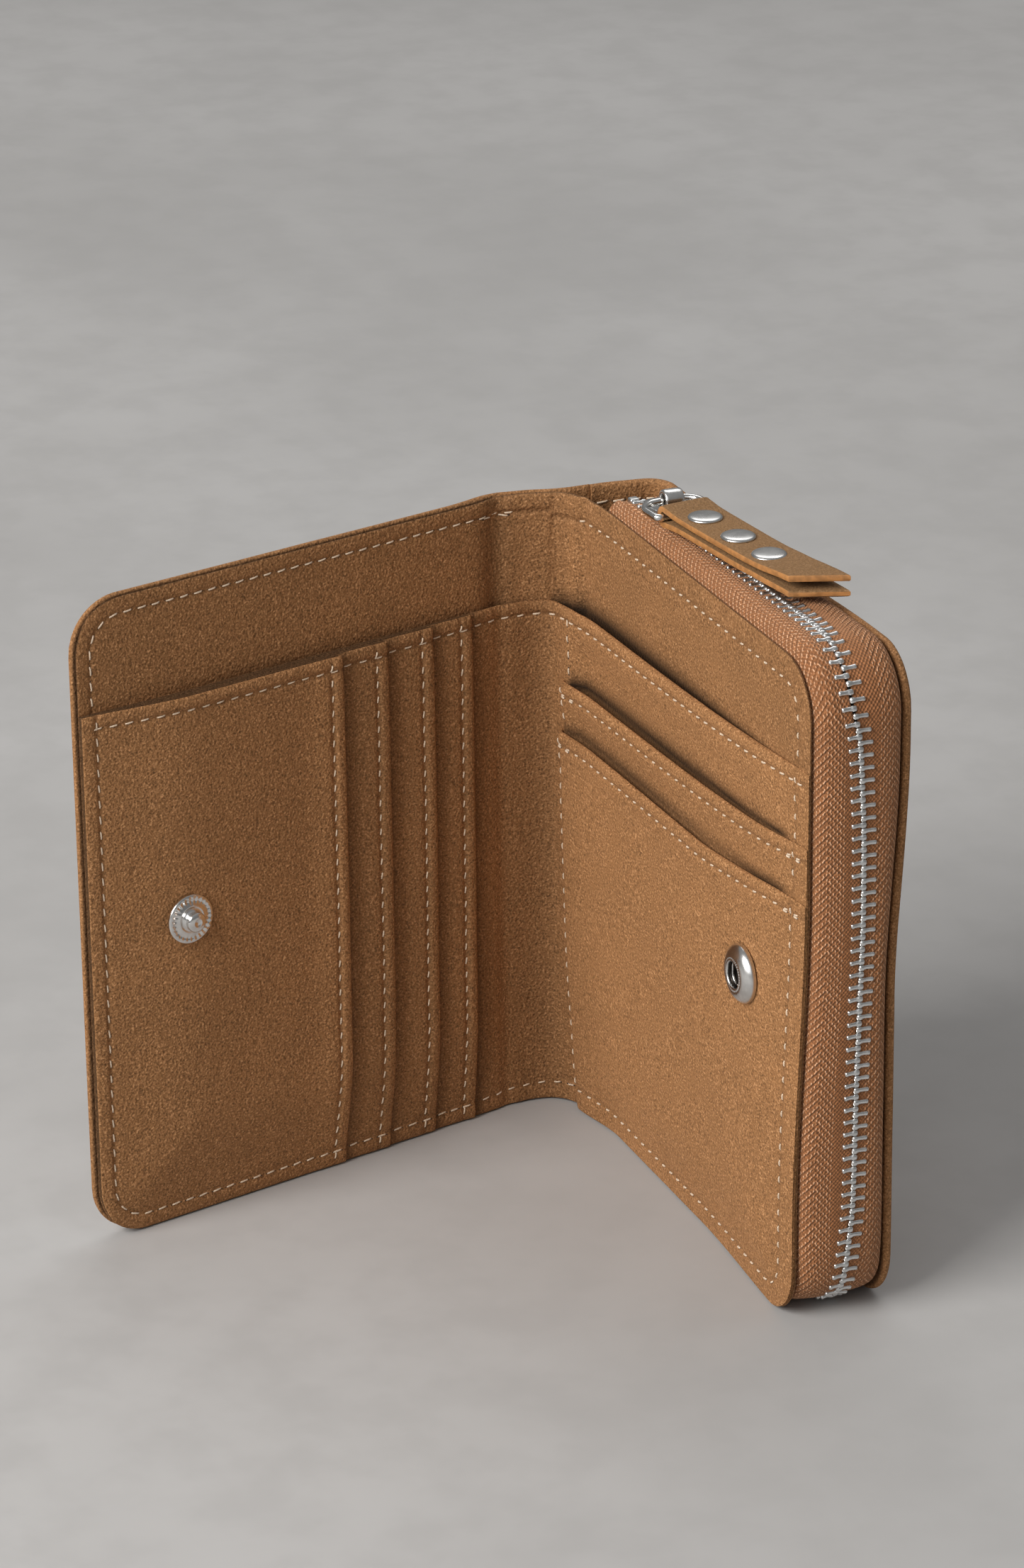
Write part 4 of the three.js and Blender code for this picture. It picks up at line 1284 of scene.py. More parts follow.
BOARD = dict(end=EDGE - 8.6, margin_z=8.6, thick=0.35, material=M_BOARD, slot="board",
             radius=3.0, step=2.2, wave=0.0)
LINING = dict(end=EDGE - 4.0, margin_z=3.0, thick=0.4, material=M_LINING, slot="lining",
              radius=5, step=1.6, wave=0.22)
inner_sheet("board_front", "card", straight_front, "front_leaf", 10.0, -4.85, **BOARD)
inner_sheet("board_rear", "card", straight_rear, "rear_shell", 7.0, -19.4, **BOARD)
inner_sheet("coin_lining_front", "cloth", straight_rear, "coin_section", 6.0, -7.15, 1, **LINING)
inner_sheet("coin_lining_rear", "cloth", straight_rear, "rear_shell", 6.0, -18.15, 4, **LINING)

# ---- seams -----------------------------------------------------------------------------------
LEAF = dict(pitch=2.65, length=1.75, rad=0.155, arch=0.13)
DOT = dict(pitch=2.85, length=1.15, rad=0.17, arch=0.10)
SPINE = dict(pitch=2.75, length=1.25, rad=0.16, arch=0.10)


def outline(inside, x_from):
    """(x, z) a set distance inside the leaf: along the top, down the free edge, back below."""
    radius = CORNER - inside
    return np.array(
        [(x_from, HEIGHT - inside)]
        + arc(EDGE - CORNER, HEIGHT - CORNER, radius, 90, 0, 9)
        + arc(EDGE - CORNER, CORNER, radius, 0, -90, 9)
        + [(x_from, inside)]
    )


# inner panel: along the top from the fold, then down the free edge to the bill pocket
edge = outline(SEW_FRONT, 4.0)
edge = np.vstack([edge[edge[:, 1] > BILL_Z], [(EDGE - SEW_FRONT, BILL_Z + 0.3)]])
panel.sew("seam_panel_front", EDGE - edge[:, 0], edge[:, 1], FOLD, seed=2, **LEAF)
# back stitch beside the fold
panel.sew("seam_panel_front_lock", (EDGE - 4.6, EDGE - 11.0),
          (HEIGHT - SEW_FRONT - 0.45, HEIGHT - SEW_FRONT - 0.3), FOLD, seed=3, slant=-0.12, **LEAF)
edge = outline(SEW_REAR, 2.4)
edge = np.vstack([edge[edge[:, 1] > BILL_Z], [(EDGE - SEW_REAR, BILL_Z + 2.2)]])
panel.sew("seam_panel_rear", PANEL_PLAN.rear_run(edge[:, 0]), edge[:, 1], FOLD, seed=4, **DOT)

# free edge and bottom of the front leaf
edge = outline(SEW_FRONT, SLOT_X[0] + 0.5)
edge = np.vstack([[(EDGE - SEW_FRONT, BILL_Z - 0.6)], edge[edge[:, 1] < BILL_Z - 0.6]])
front_sheets[0].sew("seam_edge_front", edge[:, 0], edge[:, 1], "front_leaf", seed=5, **LEAF)
for k in (1, 2, 3):
    front_sheets[k].sew(f"seam_bottom_front_{k + 1}", (SLOT_X[k - 1] - 0.2, SLOT_X[k] + 0.4),
                        SEW_FRONT, "front_leaf", seed=5 + k, **LEAF)
# lips of the front leaf's card pockets
for k, sheet in enumerate(front_sheets):
    sheet.sew(f"seam_lip_{k + 1}", SLOT_X[k] + LIP, (BILL_Z - 0.5, 0.9), "front_leaf",
              seed=12 + k, pitch=2.55, length=1.45, rad=0.15, arch=0.11, slant=-0.16)
# the seam under the top edge, layer by layer and then across the fold
for k, sheet in enumerate(front_sheets):
    end = (EDGE - 1.6) if k == 0 else SLOT_X[k - 1] - 0.1
    sheet.sew(f"seam_top_{k + 1}", (end, SLOT_X[k] + 0.3), BILL_Z - LIP, "front_leaf",
              seed=20 + k, pitch=2.65, length=1.7, rad=0.15, arch=0.12)
bill.sew("seam_top_fold", (EDGE - 13.7, BILL_PLAN.length - 1.2), BILL_Z - LIP, FOLD,
         seed=26, pitch=2.75, length=1.5, rad=0.17, arch=0.12)
bill.sew("seam_bottom_fold", (EDGE - 13.7, BILL_PLAN.rear_run(3.6)), (SEW_FRONT, SEW_REAR - 0.6),
         FOLD, seed=27, pitch=2.8, length=1.5, rad=0.15, arch=0.12)

# lips of the coin section's card pockets, with back stitches at both ends
for k, (sheet, lip) in enumerate(((upper, UP_Z), (lower, LOW_Z))):
    sheet.sew(f"seam_slot_{k + 1}", (X_SEWN + 0.3, EDGE - 1.0), lip - LIP, "coin_section",
              seed=30 + k, **DOT)
    for i, ends in enumerate(((EDGE - 7.0, EDGE - 1.2), (X_SEWN + 0.4, X_SEWN + 5.6))):
        sheet.sew(f"seam_slot_lock_{k + 1}_{i + 1}", ends, lip - LIP - 0.35, "coin_section",
                  seed=36 + 2 * k + i, slant=-0.1, **DOT)
# beside the fold
lower.sew("seam_spine_lower", SPINE_SEAM_X, (LOW_Z - 0.4, 4.2), "coin_section", seed=40, **SPINE)
upper.sew("seam_spine_upper", SPINE_SEAM_X, (UP_Z - 0.4, LOW_Z + 0.4), "coin_section",
          seed=41, **SPINE)
bill.sew("seam_spine_top", BILL_PLAN.rear_run(SPINE_SEAM_X), (BILL_Z - 1.2, UP_Z + 0.4), FOLD,
         seed=42, **SPINE)
# free edge and bottom of the coin section
edge = outline(SEW_REAR, SPINE_SEAM_X)
edge = np.vstack([[(EDGE - SEW_REAR, LOW_Z - 0.8)], edge[edge[:, 1] < LOW_Z - 1.0]])
lower.sew("seam_edge_rear", edge[:, 0], edge[:, 1], "coin_section", seed=43, **DOT)
upper.sew("seam_edge_upper", EDGE - SEW_REAR, (UP_Z - 0.5, LOW_Z + 1.6), "coin_section",
          seed=44, **DOT)
bill.sew("seam_edge_bill", BILL_PLAN.length - SEW_REAR, (BILL_Z - 0.6, UP_Z + 1.0),
         "coin_section", seed=45, **DOT)

# covers, outside
edge = outline(SEW_FRONT, 8.0)
cover_front.sew("seam_cover_front", EDGE - edge[:, 0], edge[:, 1], FOLD, side="back", seed=46,
                **LEAF)
cover_rear.sew("seam_cover_rear", COVER_REAR_PLAN.rear_run(edge[:, 0]), edge[:, 1], SPINE_CORNER,
               side="back", seed=47, **LEAF)
# hem of the spine wall, inside its top edge
cover_rear.sew("seam_spine_hem", np.linspace(0.5, 19.0, 40), HEIGHT - 3.0, SPINE_CORNER, seed=48,
               pitch=2.9, length=2.1, rad=0.19, arch=0.16)

# ---- zipper: along the top, down the free edge and back along the bottom ---------------------
RUN = EDGE - CORNER - ZIP_X0
QUARTER = math.pi / 2 * CORNER
SIDE = HEIGHT - 2 * CORNER
PATH = 2 * RUN + 2 * QUARTER + SIDE
# sideways sway of both rows towards +Y, by length along the zipper
SWAY = curve(
    [0, 65, 71, 74, 78, 80.5, 82.4, 84.4, 86.4, 88.4, 90.5, 94.5, 98.5, 104, 114, 130, 144, 164,
     172, 180, 190, 254],
    [0, 0, -0.4, -0.5, -0.42, -0.32, -0.02, 0.42, 0.74, 0.86, 1.02, 1.2, 1.42, 1.58, 1.62, 1.25,
     0.85, 0.5, -0.2, -0.5, -0.3, 0],
)


def on_path(s, proud_by):
    """x and z on the leaf outline pushed outwards, and the outward normal's x and z."""
    past_top = s - RUN
    past_side = past_top - QUARTER - SIDE
    turned = np.clip(past_top, 0, QUARTER) + np.clip(past_side, 0, QUARTER)
    angle = math.pi / 2 - turned / CORNER
    normal_x, normal_z = np.cos(angle), np.sin(angle)
    centre_x = EDGE - CORNER + np.minimum(past_top, 0) - np.maximum(past_side - QUARTER, 0)
    centre_z = HEIGHT - CORNER - np.clip(past_top - QUARTER, 0, SIDE)
    reach = CORNER + proud_by
    return centre_x + reach * normal_x, centre_z + reach * normal_z, normal_x, normal_z


def proud(s):
    """The zipper stands proud of the leaf until the lower corner, and is sunk after it."""
    return 1 - ramp(RUN + QUARTER + SIDE - 6, RUN + 2 * QUARTER + SIDE, s)


def aside(s):
    """The rows are parted ahead of the slider."""
    return 1.6 * smooth((23.6 - (ZIP_X0 + s)) / 3.2)


def tape(sign, name, part, body):
    depth = RIDGE_Y - 6.35 if sign < 0 else 18.55 - RIDGE_Y
    # proud of the leaf, the same on the bottom run, distance from the ridge, share of parting
    profile = np.array([
        [-5.5, -5.5, depth, 0], [-3.0, -3.6, depth, 0], [-1.0, -2.0, depth - 0.02, 0],
        [0.2, -1.72, depth - 0.35, 0.03], [1.05, -1.55, depth - 1.1, 0.12],
        [1.55, -1.42, depth - 2.2, 0.35], [1.75, -1.34, 2.9, 0.75], [1.62, -1.3, 1.7, 1],
        [1.6, -1.3, 0.3, 1],
    ])
    knots, t = np.linspace(0, 1, len(profile)), np.linspace(0, 1, 27)
    kernel = np.array([1, 2, 3, 2, 1]) / 9.0
    columns = []
    for i, column in enumerate(profile.T):
        dense = np.interp(t, knots, column) if i == 2 else curve(knots, column)(t)
        padded = np.pad(dense, 2, mode="reflect", reflect_type="odd")
        columns.append(np.convolve(padded, kernel, "valid"))
    top_out, bottom_out, from_ridge, parting = columns
    half = 0.24 + 0.12 * bell(t, 0.965, 0.035)  # thicker at the cord the teeth bite on
    half[[0, -1]] *= 0.35
    along = stations(0, PATH, 1.0, [(0, 0, 0.15), (11, 3, 0.5), (PATH, 0, 0.15)])
    rings, uvs = [], []
    for i, s in enumerate(along):
        out = top_out * proud(s) + bottom_out * (1 - proud(s))
        y = from_ridge + aside(s) * parting
        y = y + sign * SWAY(s) * ramp(depth - 0.3, 2.4, from_ridge)
        edge_x, edge_z, _, _ = on_path(s, 0.0)
        if sign < 0:
            y = y - flare(edge_x, edge_z) * ramp(2.6, depth - 0.3, from_ridge)
        else:
            y = y + (belly(edge_x, edge_z) + 0.22) * ramp(2.0, depth - 0.2, from_ridge)
        ripple = vnoise(np.full_like(t, s), t * 9, 9, 80 + (sign > 0))
        out = out + 0.10 * ripple * np.sin(np.pi * t)
        out = out - 1.2 * (1 - smooth(s / 5.0)) * t  # the start is turned in
        line = np.stack([out, y], -1)
        slope = unit(np.gradient(line, axis=0))
        normal = np.stack([slope[:, 1], -slope[:, 0]], -1)
        thick = half * (1 if 0 < i < len(along) - 1 else 0.02)
        push = normal * thick[:, None]
        loop = np.vstack([line - push, (line + push)[::-1]])
        x, z, _, _ = on_path(s, loop[:, 0])
        rings.append(np.stack([x, RIDGE_Y + sign * loop[:, 1], z], -1))
        across = lengths_along(line) - 4.6
        across = np.concatenate([across, across[::-1]])
        uvs.append(np.stack([np.full(len(across), s), across], -1) / 1000)
    count, sides = len(rings), len(rings[0])
    caps = []
    for end in (0, count - 1):
        for k in range(sides // 2 - 1):
            face = tuple(end * sides + j for j in (k, k + 1, sides - 2 - k, sides - 1 - k))
            caps.append(face if end == 0 else face[::-1])
    quads = np.vstack([ring_quads(count, sides)[:, [0, 3, 2, 1]], caps])
    piece = build(name, np.vstack(rings), quads, mats=(M_TAPE,), uv=np.vstack(uvs))
    place(piece, body, "zipper_tape", part)


def teeth(sign, name, part, body):
    """Every tooth on its own: a foot on the cord, a waist and a rounded head."""
    first = TEETH_X0 - ZIP_X0 + (0 if sign < 0 else PITCH / 2)
    count = int((PATH - 4 - first - 1.2) / PITCH)
    # distance from the ridge, half width along the chain, half height, height of the middle
    profile = np.array([
        [2.12, 0.06, 0.10, 0.12], [2.09, 0.25, 0.36, 0.12], [1.99, 0.38, 0.58, 0.14],
        [1.80, 0.41, 0.66, 0.14], [1.55, 0.385, 0.62, 0.10], [1.0, 0.375, 0.58, 0.05],
        [0.66, 0.38, 0.57, 0.06], [0.46, 0.43, 0.58, 0.10], [0.22, 0.49, 0.58, 0.20],
        [-0.22, 0.49, 0.58, 0.20], [-0.44, 0.36, 0.42, 0.16], [-0.54, 0.08, 0.10, 0.10],
    ])
    from_ridge, half_width, half_height, middle = (column[:, None] for column in profile.T)
    rings, sides = len(profile), 12
    angle = np.linspace(0, 2 * math.pi, sides, endpoint=False)
    cos, sin = (np.sign(v) * np.abs(v) ** 0.62 for v in (np.cos(angle), np.sin(angle)))
    along, up = cos * half_width, middle + sin * half_height
    verts, quads, tris = [], [], []
    for i in range(count):
        s = first + i * PITCH + 0.475
        x, z, out_x, out_z = on_path(s, 1.6 * proud(s) - 1.3 * (1 - proud(s)))
        y = RIDGE_Y + sign * (from_ridge + aside(s) + sign * SWAY(s)) + 0 * along
        tooth = [x + out_z * along + out_x * up, y, z - out_x * along + out_z * up]
        verts.append(np.stack(tooth, -1).reshape(-1, 3))
        quads.append(ring_quads(rings, sides, i * rings * sides))
        tris.append(end_fans(rings, sides, i * rings * sides))
    piece = build(name, np.vstack(verts), np.vstack(quads), np.vstack(tris), (M_TEETH,))
    place(piece, body, "teeth_metal", part)


tape(-1, "zipper_tape_front_weave", "zipper_tape_front", "coin_section")
tape(1, "zipper_tape_rear_weave", "zipper_tape_rear", "rear_shell")
teeth(-1, "zipper_teeth_front_row", "zipper_teeth_front", "coin_section")
teeth(1, "zipper_teeth_rear_row", "zipper_teeth_rear", "rear_shell")


# ---- hardware shapes -------------------------------------------------------------------------
def prism(bm, polygon, low, high, bevel=0.25, segments=3):
    """An upright bevelled prism over a plan polygon."""
    rings = [[bm.verts.new((x, y, z)) for x, y in polygon] for z in (low, high)]
    faces = [bm.faces.new(rings[0]), bm.faces.new(rings[1][::-1])]
    count = len(polygon)
    for i in range(count):
        j = (i + 1) % count
        faces.append(bm.faces.new((rings[0][i], rings[0][j], rings[1][j], rings[1][i])))
    bmesh.ops.recalc_face_normals(bm, faces=faces)
    edges = list({e for f in faces for e in f.edges})
    bmesh.ops.bevel(bm, geom=edges, offset=bevel, segments=segments, profile=0.6,
                    affect="EDGES", clamp_overlap=True)


def block(bm, x0, x1, y0, y1, low, high, bevel, segments):
    prism(bm, [(x0, y0), (x1, y0), (x1, y1), (x0, y1)], low, high, bevel, segments)


def mirrored(half):
    """Closes an outline of (x, distance from the ridge) over the zipper's middle line."""
    return [(x, RIDGE_Y - y) for x, y in half] + [(x, RIDGE_Y + y) for x, y in half[::-1]]


def lathe(name, profile, centre, axis, mats, sides, ridges=None):
    """Turned piece from (radius, height along the axis) points, closed on the axis."""
    axis = unit(np.array(axis, float))
    first = unit(np.cross(axis, (0, 0, 1.0) if abs(axis[2]) < 0.9 else (0, 1.0, 0)))
    second = np.cross(axis, first)
    profile = np.array(profile, float)
    for _ in range(2):  # cut the corners so that turned edges are soft
        cut = [profile[0]]
        for a, b in zip(profile[:-1], profile[1:]):
            cut += [a * 0.78 + b * 0.22, a * 0.22 + b * 0.78]
        profile = np.array(cut + [profile[-1]])
    angle = np.linspace(0, 2 * math.pi, sides, endpoint=False)
    verts = []
    for radius, height in profile[1:-1]:
        heights = np.full(sides, height)
        if ridges is not None:
            heights = heights + ridges(radius, angle)
        circle = np.outer(np.cos(angle), first) + np.outer(np.sin(angle), second)
        verts.append(centre + radius * circle + np.outer(heights, axis))
    verts += [centre + axis * profile[0][1], centre + axis * profile[-1][1]]
    rings = len(profile) - 2
    start, last = rings * sides, (rings - 1) * sides
    here = np.arange(sides)
    after = (here + 1) % sides
    tris = np.vstack([
        np.stack([0 * here + start, after, here], -1),
        np.stack([0 * here + start + 1, last + here, last + after], -1),
    ])
    return build(name, np.vstack(verts), ring_quads(rings, sides), tris, mats, sharp=50)


def wire_loop(name, points, radius, sides, normal):
    tangents = unit(np.roll(points, -1, axis=0) - np.roll(points, 1, axis=0))
    side = unit(np.cross(tangents, normal))
    up = np.cross(side, tangents)
    angle = np.linspace(0, 2 * math.pi, sides, endpoint=False)[:, None]
    verts = (
        points[:, None]
        + np.cos(angle) * radius * side[:, None]
        + np.sin(angle) * radius * up[:, None]
    ).reshape(-1, 3)
    return build(name, verts, ring_quads(len(points), sides, loop=True), mats=(M_CHROME,))


# ---- snap ------------------------------------------------------------------------------------
def snap_stud():
    """Press stud on the front leaf: fluted collar and a bulbous post."""
    centre = np.array([*(LEAF_DIR * SNAP_X + LEAF_NORMAL * 0.05), SNAP_Z])
    profile = [
        (0, -0.35), (4.15, -0.35), (4.2, 0.12), (4.05, 0.34), (3.6, 0.42), (3.2, 0.30),
        (2.9, 0.38), (2.35, 0.62), (1.95, 0.56), (1.72, 0.62), (1.42, 0.95), (1.4, 1.3),
        (1.66, 1.6), (1.72, 1.9), (1.5, 2.2), (0.95, 2.36), (0.62, 2.38), (0.5, 2.25), (0, 2.2),
    ]

    def flutes(radius, angle):
        return 0.07 * np.cos(26 * angle) * bell(radius, 3.3, 0.45) * (radius < 4.1)

    axis = (*LEAF_NORMAL, 0)
    piece = lathe("snap_stud_metal", profile, centre, axis, (M_CHROME,), 156, flutes)
    place(piece, "front_leaf", "hardware", "snap_stud")


def snap_socket():
    """Socket on the coin section: domed ring with a beaded lip, and dark metal inside as painted
    shade in its hole.
    """
    centre = np.array([SNAP_X, 2.45, SNAP_Z])
    profile = [
        (0, -0.6), (4.7, -0.6), (4.8, 0.05), (4.74, 0.36), (4.48, 0.76), (4.08, 1.12),
        (3.58, 1.4), (3.12, 1.55), (2.84, 1.58), (2.68, 1.52), (2.52, 1.62), (2.32, 1.64),
        (2.16, 1.5), (2.14, 1.2), (2.3, 0.7), (2.4, 0.1), (0, -0.15),
    ]

    def beads(radius, angle):
        return 0.055 * np.cos(40 * angle) * bell(radius, 2.66, 0.16) * (radius > 2.2)

    mats = (M_SATIN, M_SOCKET_SHADE)
    piece = lathe("snap_socket_metal", profile, centre, (0, -1, 0), mats, 200, beads)
    # faces inside the hole take the dark metal: painted shade
    for face in piece.data.polygons:
        x, y, z = np.array(face.center) - to_frame(centre)
        if math.hypot(x, z) < 0.00240 and -0.0004 < -y < 0.00132:
            face.material_index = 1
    place(piece, "coin_section", "hardware", "snap_socket")


def snap_spring():
    """A wire ring in the socket, pinched on two sides."""
    angle = np.linspace(0, 2 * math.pi, 96, endpoint=False)
    radius = 2.12 - 0.16 * np.cos(2 * angle) ** 8
    x, z = SNAP_X + radius * np.cos(angle), SNAP_Z + radius * np.sin(angle)
    points = np.stack([x, np.full_like(x, 1.85), z], -1)
    piece = wire_loop("snap_spring_wire", points, radius=0.19, sides=12, normal=(0, 1, 0))
    place(piece, "coin_section", "hardware", "snap_spring")


snap_stud()
snap_socket()
snap_spring()


# ---- slider ----------------------------------------------------------------------------------
def slider_body():
    """Top plate with turned-down flanges, bottom plate and diamond post."""
    x0, x1 = 17.5, 25.2
    bm = bmesh.new()
    top = mirrored([(x0 + 0.5, 3.0), (x0 + 1.6, 3.5), (x0 + 3.4, 3.68),
                    (x1 - 2.2, 3.25), (x1 - 0.6, 2.9), (x1, 2.1)])
    top += [(x0, RIDGE_Y + 1.6), (x0, RIDGE_Y - 1.6)]
    prism(bm, top, HEIGHT + 2.5, HEIGHT + 3.4, bevel=0.32, segments=4)
    low = mirrored([(x0 + 0.3, 2.4), (x0 + 3.2, 3.2), (x1 - 0.4, 2.7)])
    prism(bm, low, HEIGHT - 0.4, HEIGHT + 0.6)
    post = [(x0 + 0.7, RIDGE_Y), (x0 + 1.6, RIDGE_Y - 0.7), (x0 + 3.4, RIDGE_Y),
            (x0 + 1.6, RIDGE_Y + 0.7)]
    prism(bm, post, HEIGHT + 0.4, HEIGHT + 2.7, bevel=0.08, segments=2)
    for sign in (-1, 1):
        y0, y1 = sorted((RIDGE_Y + sign * 2.78, RIDGE_Y + sign * 3.38))
        block(bm, x0 + 3.6, x1 - 1.2, y0, y1, HEIGHT + 2.15, HEIGHT + 2.9, 0.15, 2)
    place(from_bmesh("slider_metal", bm, (M_CHROME,)), "slider", "hardware", "slider_body")


def slider_bail():
    """A strap rolled over the ring, wider at its feet."""
    x, y, z = BAIL
    foot = 113.45
    outer = (
        [(x + 2.35, foot), (x + 1.95, foot + 0.25)]
        + arc(x, z, 1.75, -32, 212, 47)
        + [(x - 1.95, foot + 0.25), (x - 2.35, foot)]
    )
    hole = arc(x, z, 1.02, 0, 360, 40)[:-1]
    centre = np.array([x, z - 0.15])
    # offset across the strap, how far its edge is rounded in
    sections = [(-1.6, 0.30), (-1.55, 0.14), (-1.38, 0.03), (-0.8, 0.0), (0, 0.0),
                (0.8, 0.0), (1.38, 0.03), (1.55, 0.14), (1.6, 0.30)]
    bm = bmesh.new()

    def ring_of_verts(points, at_y, grow):
        verts = []
        for point in points:
            arm = np.array(point) - centre
            length = np.linalg.norm(arm)
            px, pz = centre + arm * (length + grow) / length
            verts.append(bm.verts.new((px, at_y, pz)))
        return verts

    outer_rings = [ring_of_verts(outer, y + dy, -rounding) for dy, rounding in sections]
    hole_rings = [ring_of_verts(hole, y + dy, 0.6 * rounding) for dy, rounding in sections]
    for rings in (outer_rings, hole_rings):
        for a, b in zip(rings[:-1], rings[1:]):
            for i in range(len(a)):
                j = (i + 1) % len(a)
                bm.faces.new((a[i], a[j], b[j], b[i]))
    for end in (0, -1):
        edges = []
        for ring in (outer_rings[end], hole_rings[end]):
            edges += [bm.edges.get((ring[i], ring[(i + 1) % len(ring)])) for i in range(len(ring))]
        bmesh.ops.triangle_fill(bm, use_beauty=True, use_dissolve=False, edges=edges)
    piece = from_bmesh("slider_bail_metal", bm, (M_SATIN,), sharp=45)
    place(piece, "slider", "hardware", "slider_bail")


slider_body()
slider_bail()

# ---- pull ring and leather tab ---------------------------------------------------------------
TAB_WIDTH = 8.4
TAB_NEAR, TAB_FAR = 38.1, 42.6  # length at the two sides of the slanting end
TAB_PATH_END = 43.0  # where the strip's path starts and stops, before the slanting cut
RIVETS, RIVET_ACROSS = (6.9, 17.0, 26.3), -0.5


def tab_world(along, across, up):
    """Tab coordinates, from the bar, to fold axis millimetres."""
    along, across, up = np.broadcast_arrays(*(np.asarray(v, float) for v in (along, across, up)))
    cos, sin = math.cos(YAW), math.sin(YAW)
    x, y = cos * along - sin * across, sin * along + cos * across
    return np.stack([BAR[0] + x, BAR[1] + y, BAR[2] + up], -1)


def pull_ring():
    apex = -math.hypot(BAR[0] - BAIL[0], BAR[1] - BAIL[1])
    half, tight, wide = 5.1, 0.8, 3.1  # half width, corner radii at the bar and at the bail
    points = np.array(
        arc(-tight, -half + tight, tight, 0, -90, 8)
        + arc(apex + wide, -half + wide, wide, -90, -180, 18)
        + arc(apex + wide, half - wide, wide, 180, 90, 18)
        + arc(-tight, half - tight, tight, 90, 0, 8)
    )
    up = (BAIL[2] - BAR[2]) * (points[:, 0] / apex)
    points = tab_world(points[:, 0], points[:, 1], up)
    piece = wire_loop("pull_ring_wire", points, radius=0.6, sides=24, normal=(0, 0, 1))
    place(piece, "pull_ring", "hardware", "pull_ring")


def pull_tab():
    """Leather strip folded round the bar, with painted edges."""
    # path of the strip's middle as (along, up)
    path = [(TAB_PATH_END, 1.12), (36, 1.02), (30, 0.92), (20, 0.88), (10, 0.88), (5, 0.92),
            (3.0, 1.0), (1.6, 1.16)]
    path += arc(0, 0, 1.32, 70, 290, 22)
    path += [(1.6, -1.16), (3.0, -1.0), (5, -0.9), (10, -0.88), (20, -0.88), (28, -0.95),
             (34, -1.15), (39, -1.32), (TAB_PATH_END, -1.42)]
    dense = spline(path, 10)
    lengths = lengths_along(dense)
    total = lengths[-1]
    bend = lengths[np.argmin(dense[:, 0])]
    runs = stations(0, total, 1.0, [(0, 0, 0.12), (total, 0, 0.12), (bend, 4, 0.3)])
    line = interp_rows(runs, lengths, dense)
    slope = unit(np.gradient(line, axis=0))
    outward = np.stack([slope[:, 1], -slope[:, 0]], -1)  # away from the inside of the fold
    half = TAB_WIDTH / 2
    widths = stations(-half, half, 0.8, [(-half, 0, 0.07), (half, 0, 0.07)])
    row, column = np.meshgrid(np.arange(len(runs)), np.arange(len(widths)), indexing="ij")
    along, up = line[row][..., 0], line[row][..., 1]
    across = widths[column]
    # the far end is cut on the slant
    limit = TAB_NEAR + (TAB_FAR - TAB_NEAR) * (across + half) / TAB_WIDTH
    slanted = 30 + (along - 30) * (limit - 30) / (TAB_PATH_END - 30)
    cut = np.where(along > 30, slanted, along)
    from_side = half - np.abs(across)
    from_edge = np.minimum(from_side, np.minimum(runs[row], total - runs[row]))
    share = np.where(from_edge < 1e-9, 0.62, 0.75 + 0.25 * round_off(from_edge, 0.28))
    dome = 0.10 * round_off(from_side, 2.2) + 0.04 * vnoise(along, across, 4, 101)
    pinch = sum(0.16 * spot(along, across, at, RIVET_ACROSS, 3.4) for at in RIVETS)
    lift = 0.9 * ramp(20, 46, along)
    verts = []
    for offset in ((0.45 + dome - pinch) * share, -0.53 * share):
        shifted = cut + outward[row][..., 0] * offset
        raised = up + outward[row][..., 1] * offset
        verts.append(tab_world(shifted, across, raised + lift).reshape(-1, 3))

    count = along.size
    ids = np.arange(count).reshape(along.shape)
    outer, inner = grid_quads(ids), grid_quads(ids + count)[:, ::-1]
    rim = np.concatenate([ids[:, 0], ids[-1, 1:], ids[-2::-1, -1], ids[0, -2:0:-1]])
    after = np.roll(rim, -1)
    sides = np.stack([after, rim, rim + count, after + count], -1)
    faces = np.concatenate([outer, inner])
    painted = from_edge.ravel()[faces % count].max(1) < 0.16
    index = np.concatenate([painted, np.ones(len(sides), bool)])
    bm = bmesh.new()
    bm_verts = [bm.verts.new(p) for p in np.vstack(verts)]
    for face, material in zip(np.concatenate([faces, sides]), index):
        bm.faces.new([bm_verts[i] for i in face]).material_index = int(material)
    piece = from_bmesh("pull_tab_leather", bm, (M_TAB, M_TAB_EDGE), sharp=40)
    place(piece, "pull_tab", "leather", "pull_tab")


def tab_rivet(number, at):
    top = 1.38  # the tab's faces above and below its middle
    profile = [
        (0, -top - 0.55), (1.6, -top - 0.52), (2.3, -top - 0.38), (2.72, -top - 0.12),
        (2.72, -top + 0.06), (1.0, -top + 0.1), (0.95, 0.0), (1.0, top - 0.1),
        (2.72, top - 0.06), (2.82, top + 0.06), (2.78, top + 0.26), (2.52, top + 0.46),
        (2.0, top + 0.58), (1.3, top + 0.65), (0.65, top + 0.68), (0, top + 0.69),
    ]
    name, centre = f"tab_rivet_{number}", tab_world(at, RIVET_ACROSS, 0.0)
    piece = lathe(f"{name}_metal", profile, centre, (0, 0, 1), (M_SATIN,), 72)
    place(piece, "pull_tab", "hardware", name)


pull_ring()
pull_tab()
for i, at in enumerate(RIVETS):
    tab_rivet(i + 1, at)


# ---- zipper stops ----------------------------------------------------------------------------
def zipper_stop(part, body, x0, x1, y0, y1, low, high):
    bm = bmesh.new()
    block(bm, x0, x1, y0, y1, low, high, bevel=0.42, segments=4)
    place(from_bmesh(f"{part}_metal", bm, (M_TEETH,)), body, "teeth_metal", part)


